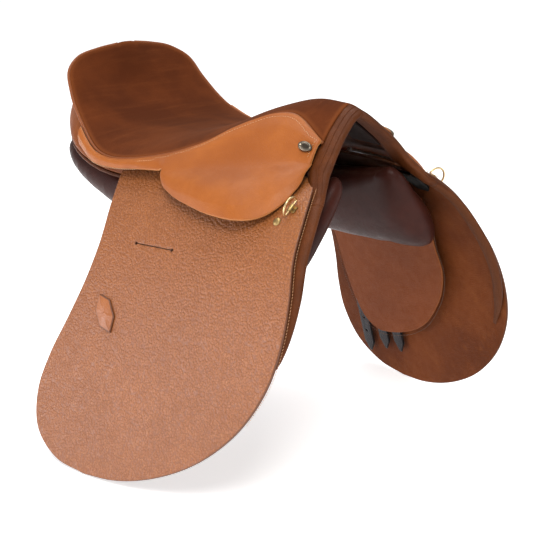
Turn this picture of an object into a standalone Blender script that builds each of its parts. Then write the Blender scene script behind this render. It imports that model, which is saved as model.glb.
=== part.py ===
"""An English saddle with separate leather, tree, padding and metal pieces.

+X is the rider's left, -Y is forward (towards the pommel) and +Z is up. The origin lies on the
centre line between the two panels, where the horse's back carries the saddle. All lengths are
in metres. Each side piece is modelled on the left and mirrored to the right.
"""
import math

import bmesh
import bpy
import numpy as np
from mathutils import Matrix, Vector

# Leather, padding and metal thicknesses
FLAP_THICKNESS = 0.0042
SKIRT_THICKNESS = 0.0036
COVER_THICKNESS = 0.003
FOAM_FRONT = 0.0016
FOAM_REAR = 0.009
FOAM_CANTLE = 0.003
WEB_THICKNESS = 0.002
TREE_THICKNESS = 0.005
STEEL_THICKNESS = 0.0025
FACING_THICKNESS = 0.0026
SWEAT_THICKNESS = 0.003
BILLET_THICKNESS = 0.0034
GAP = 0.0004

# The side surface that the flaps follow: v runs down it and u runs rearwards along it
FLAP_Y = -0.12
FLAP_Z = 0.07
TOP_HALF_WIDTH = 0.069
TOP_SLOPE = math.radians(76.5)
LOW_SLOPE = math.radians(16.2)
BEND_LENGTH = 0.09
FLARE = 0.32
BEND_V = 0.115
BEND_GAP = 0.0006

FRONT_EDGE_TOP = [(-0.104, -0.005), (-0.125, 0.022), (-0.145, 0.062), (-0.1615, BEND_V)]
REAR_EDGE_TOP = [(0.178, 0.066), (0.168, 0.090), (0.160, BEND_V)]
FRONT_EDGE_LOW = [
    (-0.1615, BEND_V), (-0.176, 0.155), (-0.184, 0.205), (-0.181, 0.250), (-0.159, 0.305),
    (-0.113, 0.359), (-0.045, 0.402), (0.020, 0.423), (0.062, 0.4275),
]
REAR_EDGE_LOW = [
    (0.160, BEND_V), (0.150, 0.155), (0.149, 0.200), (0.158, 0.255), (0.170, 0.305),
    (0.173, 0.350), (0.157, 0.393), (0.115, 0.421), (0.062, 0.4275),
]

# Seat: the sewn edge on the left and the centre line, both from the pommel to the cantle
SEAT_EDGE = [
    (0.0515, -0.2205, 0.1125), (0.0415, -0.152, 0.1345), (0.066, -0.104, 0.117),
    (0.090, -0.060, 0.090), (0.124, 0.008, 0.064), (0.138, 0.085, 0.055), (0.120, 0.155, 0.080),
    (0.109, 0.194, 0.113), (0.099, 0.213, 0.138), (0.078, 0.2235, 0.152),
    (0.042, 0.2245, 0.161), (0.014, 0.222, 0.165),
]
SEAT_SPINE = [
    (0, -0.2085, 0.1490), (0, -0.160, 0.147), (0, -0.105, 0.131), (0, -0.055, 0.108),
    (0, 0.000, 0.088), (0, 0.070, 0.074), (0, 0.135, 0.078), (0, 0.185, 0.108),
    (0, 0.214, 0.153), (0, 0.2205, 0.166),
]
SEAT_CROWN_FRONT = 1.35
SEAT_CROWN = 2.4
SEAT_ROWS = 23
SEAT_COLUMNS = 13

# Skirt: hinge line below the nail, lower edge of the swinging lobe, rear strip below the seat seam
HINGE_FRONT = (0.0680, -0.2215, 0.0907)
HINGE_REAR = (0.1384, -0.0315, 0.0542)
STRIP_EDGE = [
    (0.143, 0.010, 0.049), (0.148, 0.050, 0.044), (0.145, 0.095, 0.043), (0.130, 0.148, 0.055),
]
LOBE_EDGE = [
    (0.0695, -0.2225, 0.0885), (0.080, -0.223, 0.0800), (0.0915, -0.2272, 0.0692),
    (0.103, -0.2275, 0.0603), (0.111, -0.2265, 0.0530), (0.123, -0.2235, 0.0450),
    (0.135, -0.2168, 0.0370), (0.148, -0.206, 0.0318), (0.157, -0.1925, 0.0300),
    (0.162, -0.158, 0.0287), (0.158, -0.110, 0.0298), (0.152, -0.068, 0.0345),
    (0.146, -0.045, 0.0410), (0.1395, -0.0335, 0.0500),
]
LOBE_GAP = 0.0028
LOBE_SWELL = 0.012

# Rear wall and welt
WELT_LINE = [
    (0.112, 0.012, 0.030), (0.123, 0.050, 0.030), (0.131, 0.095, 0.033), (0.127, 0.135, 0.038),
    (0.115, 0.176, 0.045), (0.098, 0.207, 0.049), (0.072, 0.238, 0.055), (0.035, 0.250, 0.060),
    (0.0, 0.253, 0.062),
]
WELT_RADIUS = 0.0025
WALL_SWELL = 0.006

# The roll over the pommel, from the centre line to where the flap's own roll begins
POMMEL_ROLL_LINE = [
    (0.0, -0.2172, 0.1395), (0.010, -0.2180, 0.1342), (0.020, -0.2205, 0.1268),
    (0.030, -0.2235, 0.1182), (0.040, -0.2275, 0.1092), (0.048, -0.2307, 0.1008),
    (0.056, -0.2337, 0.0915), (0.066, -0.2375, 0.0790),
]
ROLL_HEIGHT = 0.0048
ARCH_TRIM = 3
ROLL_WIDTH_TOP = 0.0130
ROLL_WIDTH_END = 0.0100

# Panel stations: y, centre x, centre z, half width, half thickness, slope in degrees
PANEL_STATIONS = [
    (-0.2560, 0.0795, 0.0190, 0.045, 0.0065, 58),
    (-0.2530, 0.0788, 0.0186, 0.0585, 0.0108, 58),
    (-0.2430, 0.0782, 0.0192, 0.0695, 0.0157, 58),
    (-0.2270, 0.0785, 0.0155, 0.0675, 0.0170, 58),
    (-0.170, 0.0850, 0.0070, 0.062, 0.021, 56),
    (-0.090, 0.088, -0.002, 0.059, 0.028, 47),
    (0.000, 0.083, -0.004, 0.050, 0.028, 32),
    (0.080, 0.080, 0.002, 0.049, 0.025, 16),
    (0.150, 0.077, 0.014, 0.047, 0.023, 8),
    (0.205, 0.068, 0.0275, 0.043, 0.0208, 5),
    (0.236, 0.058, 0.034, 0.034, 0.017, 5),
    (0.246, 0.055, 0.036, 0.026, 0.010, 5),
]
PANEL_SIDES = 10
PANEL_FULLNESS = 0.75
CAGE_WIDER = 1.08
CAGE_THICKER = 1.12

# Swelling of each panel's outer side under the knee: how far, its share at each y, and its place
# across the panel from -1 at the top to 1 at the bottom
KNEE_SWELL = 0.017
KNEE_Y = (-0.2570, -0.2530, -0.2440, -0.2270)
KNEE_SHARE = (0.1, 0.45, 0.95, 0.0)
KNEE_CENTRE = 0.45
KNEE_SPREAD = 0.65

# Leather between the panels, as (y, z)
CHANNEL_LINE = [(-0.150, 0.062), (-0.060, 0.040), (0.060, 0.026), (0.150, 0.030), (0.205, 0.044)]
CHANNEL_HALF_WIDTH = 0.029

# Roll under each flap's front edge
ROLL_OUT = -FLAP_THICKNESS / 2 - GAP - ROLL_HEIGHT
EDGE_ROLL_WIDTH = 0.0085
ROLL_SIDES = 10
ROLL_BEND_U = -0.1655
ROLL_LINE_TOP = [(-0.124, 0.011), (-0.131, 0.022), (-0.150, 0.062)]
ROLL_LINE_LOW = [(-0.1765, 0.155), (-0.179, 0.205), (-0.171, 0.240), (-0.158, 0.270)]

# Slit in each flap, from its front hole to its rear one, as (u, v)
SLOT_FRONT = (0.025, 0.142)
SLOT_REAR = (0.087, 0.147)
SLOT_WIDTH = 0.0018
SLOT_HOLE_RADIUS = 0.0022

# Loop on each flap for a strap's end
KEEPER_START = (0.114, 0.2175)
KEEPER_END = (0.077, 0.2575)
KEEPER_LENGTH = 0.054
KEEPER_HALF_WIDTH = 0.0125
KEEPER_THICKNESS = 0.0026

# Girth straps, each with its u and its tip's v, and the web that carries them
BILLETS = ((0.0445, 0.379), (0.0780, 0.385), (0.1175, 0.401))
BILLET_TOP = 0.118
BILLET_LEAN = 0.32
BILLET_HALF_WIDTH = 0.0102
BILLET_OUT = -0.0086
BILLET_POINT = 0.018

# Sweat flap: outline as (u, v), and its place under the flap
SWEAT_FRONT = [
    (-0.101, 0.075), (-0.092, 0.130), (-0.088, 0.168), (-0.090, 0.205), (-0.078, 0.245),
    (-0.059, 0.275), (-0.040, 0.298), (-0.008, 0.322), (0.0285, 0.338), (0.052, 0.345),
]
SWEAT_REAR = [
    (0.104, 0.075), (0.112, 0.130), (0.1177, 0.184), (0.1197, 0.230), (0.119, 0.275),
    (0.113, 0.308), (0.1034, 0.332), (0.090, 0.3435), (0.073, 0.348), (0.052, 0.345),
]
SWEAT_OUT = -0.0155

# Steel point of the tree under each flap's top
POINT_FRONT = [(-0.112, 0.020), (-0.117, 0.038), (-0.119, 0.052), (-0.112, 0.066)]
POINT_REAR = [(-0.082, 0.020), (-0.084, 0.038), (-0.087, 0.052), (-0.094, 0.066)]
POINT_OUT = -0.0070

# Stirrup bar: place on the side surface and section
BAR_U = -0.020
BAR_V = 0.050
BAR_LENGTH = 0.082
BAR_WIDTH = 0.014
BAR_FOOT = FLAP_THICKNESS / 2 + GAP
BAR_FOOT_THICKNESS = 0.0019
BAR_SPACE = 0.0046
BAR_THICKNESS = 0.0034
BAR_RISER = 0.007
BAR_TAIL = 0.012
BAR_CORNER = 0.003

# Catch at the bar's open end
CATCH_BACK = 0.0075
CATCH_HEIGHT = 0.0030
CATCH_WIDTH = 0.009
CATCH_HOLE_RADIUS = 0.0013
CATCH_PIN_RADIUS = 0.0011
CATCH_PIN_LENGTH = 0.012

# D ring, the clip that holds it and the stud below it
DEE_U = -0.1205
DEE_V = 0.0540
DEE_OUT = FLAP_THICKNESS / 2 + GAP + 0.0030
DEE_TILT = math.radians(15)
DEE_WIRE_RADIUS = 0.0014
DEE_HALF_WIDTH = 0.0120
DEE_STRAIGHT = 0.0020
CLIP_HOLE_RADIUS = 0.0018
CLIP_EYE_RADIUS = 0.0028
CLIP_WIDTH = 0.0085
STUD_U = -0.1105
STUD_V = 0.0735

# Head of the nail at the skirt's front corner
NAIL_RADIUS = 0.0100
NAIL_HEIGHT = 0.0030
NAIL_OVAL = 0.60

OBJECT_NAME = "english_saddle"
COLOURS = {
    "flap_leather": ((0.50, 0.21, 0.09), 0.42, 0.0),
    "skirt_leather": ((0.56, 0.22, 0.07), 0.38, 0.0),
    "seat_leather": ((0.19, 0.055, 0.018), 0.72, 0.0),
    "roll_leather": ((0.24, 0.075, 0.025), 0.40, 0.0),
    "panel_leather": ((0.075, 0.028, 0.020), 0.30, 0.0),
    "sweat_leather": ((0.20, 0.075, 0.032), 0.55, 0.0),
    "billet_leather": ((0.025, 0.022, 0.022), 0.45, 0.0),
    "foam": ((0.80, 0.74, 0.60), 0.90, 0.0),
    "webbing": ((0.62, 0.55, 0.42), 0.85, 0.0),
    "tree_laminate": ((0.16, 0.11, 0.07), 0.60, 0.0),
    "steel": ((0.42, 0.43, 0.45), 0.35, 1.0),
    "brass": ((0.80, 0.58, 0.25), 0.25, 1.0),
    "nickel": ((0.30, 0.28, 0.24), 0.30, 1.0),
}


def clear_scene():
    for obj in list(bpy.data.objects):
        bpy.data.objects.remove(obj, do_unlink=True)


def collection(name):
    made = bpy.data.collections.new(name)
    bpy.context.scene.collection.children.link(made)
    return made


def material(name):
    colour, roughness, metallic = COLOURS[name]
    made = bpy.data.materials.get(name)
    if made:
        return made
    made = bpy.data.materials.new(name)
    made.use_nodes = True
    shader = made.node_tree.nodes["Principled BSDF"]
    shader.inputs["Base Color"].default_value = (*colour, 1.0)
    shader.inputs["Roughness"].default_value = roughness
    shader.inputs["Metallic"].default_value = metallic
    return made


def add_object(name, data, material_name, matrix=None):
    data.materials.append(material(material_name))
    obj = bpy.data.objects.new(name, data)
    if matrix is not None:
        obj.matrix_world = matrix
    PARTS.objects.link(obj)
    return obj


def smooth(points, count):
    """Points at even steps along a smooth curve through the given ones."""
    through = np.array(points, float)
    chord = np.linalg.norm(np.diff(through, axis=0), axis=1)
    along = np.concatenate([[0.0], np.cumsum(chord)])
    slope = np.gradient(through, along, axis=0)
    at = np.linspace(0.0, along[-1], count)
    i = np.clip(np.searchsorted(along, at, side="right") - 1, 0, len(through) - 2)
    span = (along[i + 1] - along[i])[:, None]
    t = (at - along[i])[:, None] / span
    start = (2 * t**3 - 3 * t**2 + 1) * through[i] + (t**3 - 2 * t**2 + t) * span * slope[i]
    end = (3 * t**2 - 2 * t**3) * through[i + 1] + (t**3 - t**2) * span * slope[i + 1]
    return start + end


def finished(mesh, name):
    """Mesh data with its faces turned the same way and smooth shading."""
    bmesh.ops.recalc_face_normals(mesh, faces=mesh.faces)
    data = bpy.data.meshes.new(name)
    mesh.to_mesh(data)
    mesh.free()
    data.shade_smooth()
    return data


def grid_mesh(name, points):
    """An open surface through rows and columns of points."""
    rows, columns = len(points), len(points[0])
    mesh = bmesh.new()
    verts = [[mesh.verts.new(p) for p in row] for row in points]
    for i in range(rows - 1):
        for j in range(columns - 1):
            mesh.faces.new((verts[i][j], verts[i][j + 1], verts[i + 1][j + 1], verts[i + 1][j]))
    bmesh.ops.remove_doubles(mesh, verts=mesh.verts, dist=1e-5)
    return finished(mesh, name)


def ring_mesh(name, rings):
    """A closed surface through rings of points, with a flat face at each end."""
    mesh = bmesh.new()
    verts = [[mesh.verts.new(p) for p in ring] for ring in rings]
    sides = len(rings[0])
    for first, second in zip(verts, verts[1:]):
        for k in range(sides):
            m = (k + 1) % sides
            mesh.faces.new((first[k], first[m], second[m], second[k]))
    mesh.faces.new(verts[0])
    mesh.faces.new(verts[-1])
    return finished(mesh, name)


def sheet(name, points, thickness, material_name):
    """A sheet of even thickness whose middle follows the points."""
    obj = add_object(name, grid_mesh(name, points), material_name)
    shell = obj.modifiers.new("thickness", "SOLIDIFY")
    shell.thickness = thickness
    shell.offset = 0.0
    return obj


def tube(name, points, radius, material_name, tapers=None, closed=False, sides=2):
    data = bpy.data.curves.new(name, "CURVE")
    data.dimensions = "3D"
    spline = data.splines.new("POLY")
    spline.points.add(len(points) - 1)
    for i, point in enumerate(points):
        spline.points[i].co = (*point, 1.0)
        spline.points[i].radius = 1.0 if tapers is None else tapers[i]
    spline.use_cyclic_u = closed
    data.bevel_depth = radius
    data.bevel_resolution = sides
    data.use_fill_caps = not closed
    return add_object(name, data, material_name)


def extruded(name, outlines, depth, material_name, matrix):
    """A flat outline in the matrix's XY plane, extruded evenly to both sides of it."""
    data = bpy.data.curves.new(name, "CURVE")
    data.dimensions = "2D"
    data.fill_mode = "BOTH"
    data.extrude = depth / 2
    for outline in outlines:
        spline = data.splines.new("POLY")
        spline.points.add(len(outline) - 1)
        for i, (x, y) in enumerate(outline):
            spline.points[i].co = (x, y, 0.0, 1.0)
        spline.use_cyclic_u = True
    return add_object(name, data, material_name, matrix)


def turned(name, profile, material_name, matrix):
    """A profile of radius and height, turned about the matrix's Z axis."""
    mesh = bmesh.new()
    verts = [mesh.verts.new((radius, 0.0, height)) for radius, height in profile]
    for a, b in zip(verts, verts[1:]):
        mesh.edges.new((a, b))
    data = bpy.data.meshes.new(name)
    mesh.to_mesh(data)
    mesh.free()
    obj = add_object(name, data, material_name, matrix)
    screw = obj.modifiers.new("turn", "SCREW")
    screw.steps = screw.render_steps = 16
    screw.use_merge_vertices = True
    screw.merge_threshold = 0.00001
    return obj


def move_origin(obj, point):
    """Puts a mesh or curve object's origin at the point and leaves its shape where it is."""
    obj.data.transform(obj.matrix_world)
    obj.data.transform(Matrix.Translation(-Vector(point)))
    obj.matrix_world = Matrix.Translation(Vector(point))


def arc(centre, radius, start, end, count):
    """Points on an arc from start to end, in degrees."""
    angles = np.radians(np.linspace(start, end, count))
    return [(centre[0] + radius * math.cos(a), centre[1] + radius * math.sin(a)) for a in angles]


# ---------------------------------------------------------------- side surface

V_STEPS = np.linspace(-0.06, 0.60, 661)


def slope_at(v):
    return LOW_SLOPE + (TOP_SLOPE - LOW_SLOPE) * np.exp(-np.maximum(v, 0.0) / BEND_LENGTH)


def running_sum(values):
    step = V_STEPS[1] - V_STEPS[0]
    total = np.concatenate([[0.0], np.cumsum((values[1:] + values[:-1]) / 2 * step)])
    return total - np.interp(0.0, V_STEPS, total)


OUT_STEPS = running_sum(np.sin(slope_at(V_STEPS)))
DOWN_STEPS = running_sum(np.cos(slope_at(V_STEPS)))


def side_axes(u, v):
    """Unit vectors rearwards along the surface, down it and out of it."""
    slope = slope_at(v)
    along = Vector((FLARE * v, 1.0, 0.0)).normalized()
    fall = Vector((math.sin(slope) + FLARE * u, 0.0, -math.cos(slope)))
    out = fall.cross(along).normalized()
    return along, along.cross(out).normalized(), out


def side_point(u, v, out=0.0):
    x = TOP_HALF_WIDTH + float(np.interp(v, V_STEPS, OUT_STEPS)) + FLARE * u * v
    z = FLAP_Z - float(np.interp(v, V_STEPS, DOWN_STEPS))
    return Vector((x, u + FLAP_Y, z)) + side_axes(u, v)[2] * out


def side_frame(u, v, out, first="along"):
    """A matrix at a point of the side surface. Its Z is out of the surface, or down it."""
    along, down, normal = side_axes(u, v)
    if first == "along":
        axes = (along, normal.cross(along), normal)
    else:
        axes = (along, normal, along.cross(normal))
    return Matrix.Translation(side_point(u, v, out)) @ Matrix(axes).transposed().to_4x4()


def side_rows(front, rear, rows, columns, out=0.0):
    """Rows of points on the side surface, from a front edge to a rear edge given as (u, v)."""
    front_points = smooth(front, rows)
    rear_points = smooth(rear, rows)
    share = np.linspace(0.0, 1.0, columns)[:, None]
    return [
        [side_point(u, v, out) for u, v in a * (1 - share) + b * share]
        for a, b in zip(front_points, rear_points)
    ]


# ---------------------------------------------------------------- seat and tree


def seat_grid():
    """Points of the seat's top surface and the unit vectors out of it."""
    edge = smooth(SEAT_EDGE, SEAT_ROWS)
    spine = smooth(SEAT_SPINE, SEAT_ROWS)
    across = np.linspace(-1.0, 1.0, SEAT_COLUMNS)
    size = np.abs(across)[None, :, None]
    share = np.linspace(0.0, 1.0, SEAT_ROWS)
    crown = np.interp(share, (0.0, 0.12, 0.35), (SEAT_CROWN_FRONT, SEAT_CROWN_FRONT, SEAT_CROWN))
    points = spine[:, None] + (edge - spine)[:, None] * size ** crown[:, None, None]
    points[:, :, 0] = edge[:, None, 0] * across[None]
    normals = np.cross(np.gradient(points, axis=1), np.gradient(points, axis=0))
    normals /= np.linalg.norm(normals, axis=2, keepdims=True)
    return points, normals


def seat_layer(name, rows, columns, depth, thickness, material_name):
    """A layer of the seat over some rows and columns of its grid, at a depth below the top surface."""
    points, normals = (grid[rows, columns] for grid in seat_grid())
    depth = (depth * np.ones(SEAT_ROWS))[rows, None, None]
    thickness = (thickness * np.ones(SEAT_ROWS))[rows, None, None]
    top = points - normals * depth
    closed_layer(name, top, top - normals * thickness, material_name)


def make_seat():
    """Leather cover, foam, webbing and laminated tree, and a steel rail under the tree on each side."""
    share = np.linspace(0.0, 1.0, SEAT_ROWS)
    thick = (FOAM_FRONT, FOAM_FRONT, FOAM_REAR, FOAM_REAR, FOAM_CANTLE)
    foam = np.interp(share, (0.0, 0.06, 0.4, 0.78, 0.90), thick)
    foam_top = COVER_THICKNESS + GAP
    web_top = foam_top + foam + GAP
    tree_top = web_top + WEB_THICKNESS + GAP
    rail_top = tree_top + TREE_THICKNESS + 4 * GAP
    seat_layer("seat_cover", slice(0, 23), slice(0, 13), 0.0, COVER_THICKNESS, "seat_leather")
    seat_layer("seat_foam", slice(1, 21), slice(1, 12), foam_top, foam, "foam")
    seat_layer("seat_web", slice(4, 20), slice(5, 8), web_top, WEB_THICKNESS, "webbing")
    seat_layer("tree_frame", slice(4, 20), slice(2, 11), tree_top, TREE_THICKNESS, "tree_laminate")
    seat_layer("tree_rail_left", slice(5, 19), slice(8, 10), rail_top, STEEL_THICKNESS, "steel")


def closed_layer(name, top, bottom, material_name):
    """A solid between two grids of points."""
    rows, columns = top.shape[:2]
    mesh = bmesh.new()
    grids = [[[mesh.verts.new(p) for p in row] for row in side] for side in (top, bottom)]
    for i in range(rows - 1):
        for j in range(columns - 1):
            for side in grids:
                mesh.faces.new((side[i][j], side[i][j + 1], side[i + 1][j + 1], side[i + 1][j]))
    rim = [(i, 0) for i in range(rows)] + [(rows - 1, j) for j in range(1, columns)]
    rim += [(i, columns - 1) for i in range(rows - 2, -1, -1)]
    rim += [(0, j) for j in range(columns - 2, 0, -1)]
    for (i, j), (k, m) in zip(rim, rim[1:] + rim[:1]):
        mesh.faces.new((grids[0][i][j], grids[0][k][m], grids[1][k][m], grids[1][i][j]))
    return add_object(name, finished(mesh, name), material_name)


def arch_line(count, lift, rearwards):
    """The pommel roll's line from right to left, moved off the arch by lift and rearwards."""
    line = smooth(POMMEL_ROLL_LINE, count)
    line = np.concatenate([(line * np.array((-1, 1, 1)))[:0:-1], line])
    away = arch_normals(line)
    return line + away * lift + np.array((0.0, rearwards, 0.0))


def arch_normals(line):
    """Unit vectors out of the arch along a line over it, in the plane across the saddle."""
    slope = np.gradient(line, axis=0)
    away = np.stack([-slope[:, 2], np.zeros(len(line)), slope[:, 0]], axis=1)
    return away / np.linalg.norm(away, axis=1, keepdims=True)


def make_head():
    """Steel plates and a lining under the pommel arch, and the leather from the roll to the seat."""
    for name, lift, thickness, front, rear, kind in (
        ("pommel_facing", 0.0034, 0.0022, 0.0137, 0.0300, "roll_leather"),
        ("head_plate", -0.0006, STEEL_THICKNESS, 0.0190, 0.0440, "steel"),
        ("gullet_plate", -0.0036, 0.0020, 0.0190, 0.0330, "steel"),
        ("gullet_lining", -0.0060, 0.0018, 0.0137, 0.0600, "roll_leather"),
    ):
        reach = 0 if name == "pommel_facing" else ARCH_TRIM
        lines = [arch_line(11, lift, back) for back in np.linspace(front, rear, 3)]
        rows = [line[reach : len(line) - reach] for line in lines]
        sheet(name, rows, thickness, kind)


# ---------------------------------------------------------------- skirt, rear wall, welt

def between(top, bottom, rows, bulge):
    """Rows of points from one curve to another, bulging outwards in the middle."""
    share = np.linspace(0.0, 1.0, rows)[:, None, None]
    points = np.array(top)[None] * (1 - share) + np.array(bottom)[None] * share
    away = np.array((0.75, 0.0, 0.66)) * bulge
    return points + np.sin(np.pi * share) * away


def make_skirt_left():
    count = 26
    seam_points = smooth(SEAT_EDGE, 101)[:71]
    seam = smooth(seam_points[::5], count) + np.array((0.0036, 0.0, -0.0028))
    turn = 15
    hinge = np.linspace(HINGE_FRONT, HINGE_REAR, turn)
    strip = smooth([HINGE_REAR] + STRIP_EDGE, count - turn + 1)[1:]
    edge = np.concatenate([hinge, strip])
    top = between(seam, edge, 5, 0.004)
    sheet("skirt_top_left", top, SKIRT_THICKNESS, "skirt_leather")

    columns = 19
    start = np.linspace(np.array(HINGE_FRONT), np.array(HINGE_REAR), columns)
    away = np.array((0.70, 0.0, -0.71)) * LOBE_GAP
    lobe = between(start + away, smooth(LOBE_EDGE, columns), 8, LOBE_SWELL)
    skirt = sheet("skirt_left", lobe, SKIRT_THICKNESS, "skirt_leather")
    move_origin(skirt, skirt_axis()[0])
    return top


def skirt_axis():
    """A point on the skirt's hinge line and the direction along it."""
    front, rear = Vector(HINGE_FRONT), Vector(HINGE_REAR)
    out = Vector((0.83, 0.0, 0.55)) * SKIRT_THICKNESS / 2
    return (front + rear) / 2 + out, (rear - front).normalized()


def make_rear_wall():
    """The leather wall from the seat's rear edge down to a welt on the panels."""
    count = 15
    seam = smooth(smooth(SEAT_EDGE, 101)[44:], count) + np.array((0.0, 0.0, -0.0092))
    seam[:, 0] *= np.interp(np.arange(count), (0, 7, count - 1), (0.90, 0.87, 0.87))
    seam[:, 1] += np.interp(np.arange(count), (0, 7, count - 1), (0.0, -0.0050, -0.001))
    seam[-1, 0] = 0.0
    welt = smooth(WELT_LINE, count)
    wall = between(seam, welt, 5, 0.0)
    low_down = np.sin(np.pi * np.linspace(0.0, 1.0, 5) ** 2.2)
    swell = np.outer(low_down, np.interp(np.arange(count), (4, 7), (0.0, WALL_SWELL)))
    spread = wall * np.array((1.0, 1.0, 0.0)) - np.array((0.0, 0.05, 0.0))
    wall += spread / np.linalg.norm(spread, axis=2, keepdims=True) * swell[:, :, None]
    wall = np.concatenate([wall, (wall * np.array((-1, 1, 1)))[:, ::-1][:, 1:]], axis=1)
    sheet("cantle_facing", wall, FACING_THICKNESS, "skirt_leather")
    line = welt + np.array((0.0, 0.0, -0.0032))
    line = np.concatenate([line, (line * np.array((-1, 1, 1)))[::-1][1:]])
    tube("cantle_welt", line, WELT_RADIUS, "roll_leather")


def make_pommel_roll():
    """A roll of oval section over the pommel arch, widest at the top."""
    line = arch_line(10, 0.0, 0.0)
    away = arch_normals(line)
    half = len(line) // 2
    rings = []
    for i, (centre, normal) in enumerate(zip(line, away)):
        share = abs(i - half) / half
        width = ROLL_WIDTH_TOP + (ROLL_WIDTH_END - ROLL_WIDTH_TOP) * share
        ring = [
            centre + normal * ROLL_HEIGHT * math.sin(a) + np.array((0.0, width * math.cos(a), 0.0))
            for a in np.linspace(0.0, 2 * math.pi, ROLL_SIDES, endpoint=False)
        ]
        rings.append(ring)
    add_object("pommel_roll", ring_mesh("pommel_roll", rings), "roll_leather")


# ---------------------------------------------------------------- flaps and straps

def cut_slot(flap):
    """A narrow slit with a round hole at each end, for a strap."""
    depth = 0.03
    radius = SLOT_HOLE_RADIUS
    cutters = []
    for i, (u, v) in enumerate((SLOT_FRONT, SLOT_REAR)):
        mesh = bmesh.new()
        bmesh.ops.create_cone(
            mesh, cap_ends=True, segments=12, radius1=radius, radius2=radius, depth=depth
        )
        cutters.append(cutter_from(mesh, f"slot_hole_cutter_{i}", side_frame(u, v, 0.0)))
    u, v = (np.array(SLOT_FRONT) + np.array(SLOT_REAR)) / 2
    reach = side_point(*SLOT_REAR) - side_point(*SLOT_FRONT)
    along = reach.normalized()
    across = side_axes(u, v)[2].cross(along).normalized()
    turn = Matrix((along, across, along.cross(across))).transposed().to_4x4()
    mesh = bmesh.new()
    size = Matrix.Diagonal((reach.length, SLOT_WIDTH, depth, 1.0))
    bmesh.ops.create_cube(mesh, size=1.0, matrix=size)
    slit = cutter_from(mesh, "slot_slit_cutter", Matrix.Translation(side_point(u, v)) @ turn)
    cutters.append(slit)
    for cutter in cutters:
        hole = flap.modifiers.new("slot", "BOOLEAN")
        hole.operation = "DIFFERENCE"
        hole.object = cutter
    apply_modifiers(flap)


def cutter_from(mesh, name, matrix):
    obj = bpy.data.objects.new(name, finished(mesh, name))
    obj.matrix_world = matrix
    obj.hide_render = True
    obj.display_type = "WIRE"
    CUTTERS.objects.link(obj)
    return obj


def apply_modifiers(obj):
    bpy.context.view_layer.update()
    graph = bpy.context.evaluated_depsgraph_get()
    data = bpy.data.meshes.new_from_object(obj.evaluated_get(graph))
    obj.modifiers.clear()
    obj.data = data


def flap_hinge():
    """A point on the line along the flap's outer face where the flap bends."""
    return side_point(0.0, BEND_V, FLAP_THICKNESS / 2)


def make_flap_left():
    """The fixed top of the flap and, below the bend, the part that lifts."""
    rows = side_rows(FRONT_EDGE_TOP, REAR_EDGE_TOP, 8, 14)
    sheet("flap_top_left", rows, FLAP_THICKNESS, "flap_leather")
    front = [(u, v + BEND_GAP * (v == BEND_V)) for u, v in FRONT_EDGE_LOW]
    rear = [(u, v + BEND_GAP * (v == BEND_V)) for u, v in REAR_EDGE_LOW]
    flap = sheet("flap_left", side_rows(front, rear, 17, 13), FLAP_THICKNESS, "flap_leather")
    cut_slot(flap)
    move_origin(flap, flap_hinge())


def roll_rings(line, tapers):
    """Oval rings along a (u, v) line under the side surface."""
    rings = []
    slope = np.gradient(line, axis=0)
    for (u, v), (du, dv), taper in zip(line, slope, tapers):
        along, down, out = side_axes(u, v)
        across = (along * dv - down * du).normalized()
        centre = side_point(u, v, ROLL_OUT + ROLL_HEIGHT * (1 - taper))
        high, wide = out * ROLL_HEIGHT * taper, across * EDGE_ROLL_WIDTH * taper
        turns = np.linspace(0.0, 2 * math.pi, ROLL_SIDES, endpoint=False)
        rings.append([centre + high * math.sin(a) + wide * math.cos(a) for a in turns])
    return rings


def make_edge_roll_left():
    """The padded roll along the flap's front edge, parted at the flap's bend."""
    top_line = smooth([*ROLL_LINE_TOP, (ROLL_BEND_U, BEND_V - BEND_GAP)], 7)
    rings = roll_rings(top_line, np.ones(7))
    add_object("edge_roll_top_left", ring_mesh("edge_roll_top_left", rings), "roll_leather")
    low_line = smooth([(ROLL_BEND_U, BEND_V + BEND_GAP), *ROLL_LINE_LOW], 10)
    tapers = np.interp(np.linspace(0.0, 1.0, 10), (0.0, 0.5, 1.0), (1.0, 0.85, 0.30))
    rings = roll_rings(low_line, tapers)
    roll = add_object("edge_roll_left", ring_mesh("edge_roll_left", rings), "roll_leather")
    move_origin(roll, flap_hinge())


def make_keeper_left():
    """A pointed leather loop on the flap for a strap's end."""
    start, end = np.array(KEEPER_START), np.array(KEEPER_END)
    along = (end - start) / np.linalg.norm(end - start)
    across = np.array((along[1], -along[0]))
    rows = []
    for t in np.linspace(0.0, 1.0, 11):
        half = KEEPER_HALF_WIDTH * min(1.0, 0.16 + 3.2 * min(t, 1 - t))
        out = 0.0038 + 0.0012 * math.sin(math.pi * t)
        centre = start + along * KEEPER_LENGTH * t
        spots = [centre + across * half * k for k in (-1.0, -0.5, 0.0, 0.5, 1.0)]
        rows.append([side_point(*spot, out) for spot in spots])
    keeper = sheet("keeper_left", rows, KEEPER_THICKNESS, "flap_leather")
    move_origin(keeper, flap_hinge())


def make_sweat_flap_left():
    rows = side_rows(SWEAT_FRONT, SWEAT_REAR, 11, 9, SWEAT_OUT)
    sheet("sweat_flap_left", rows, SWEAT_THICKNESS, "sweat_leather")


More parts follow.
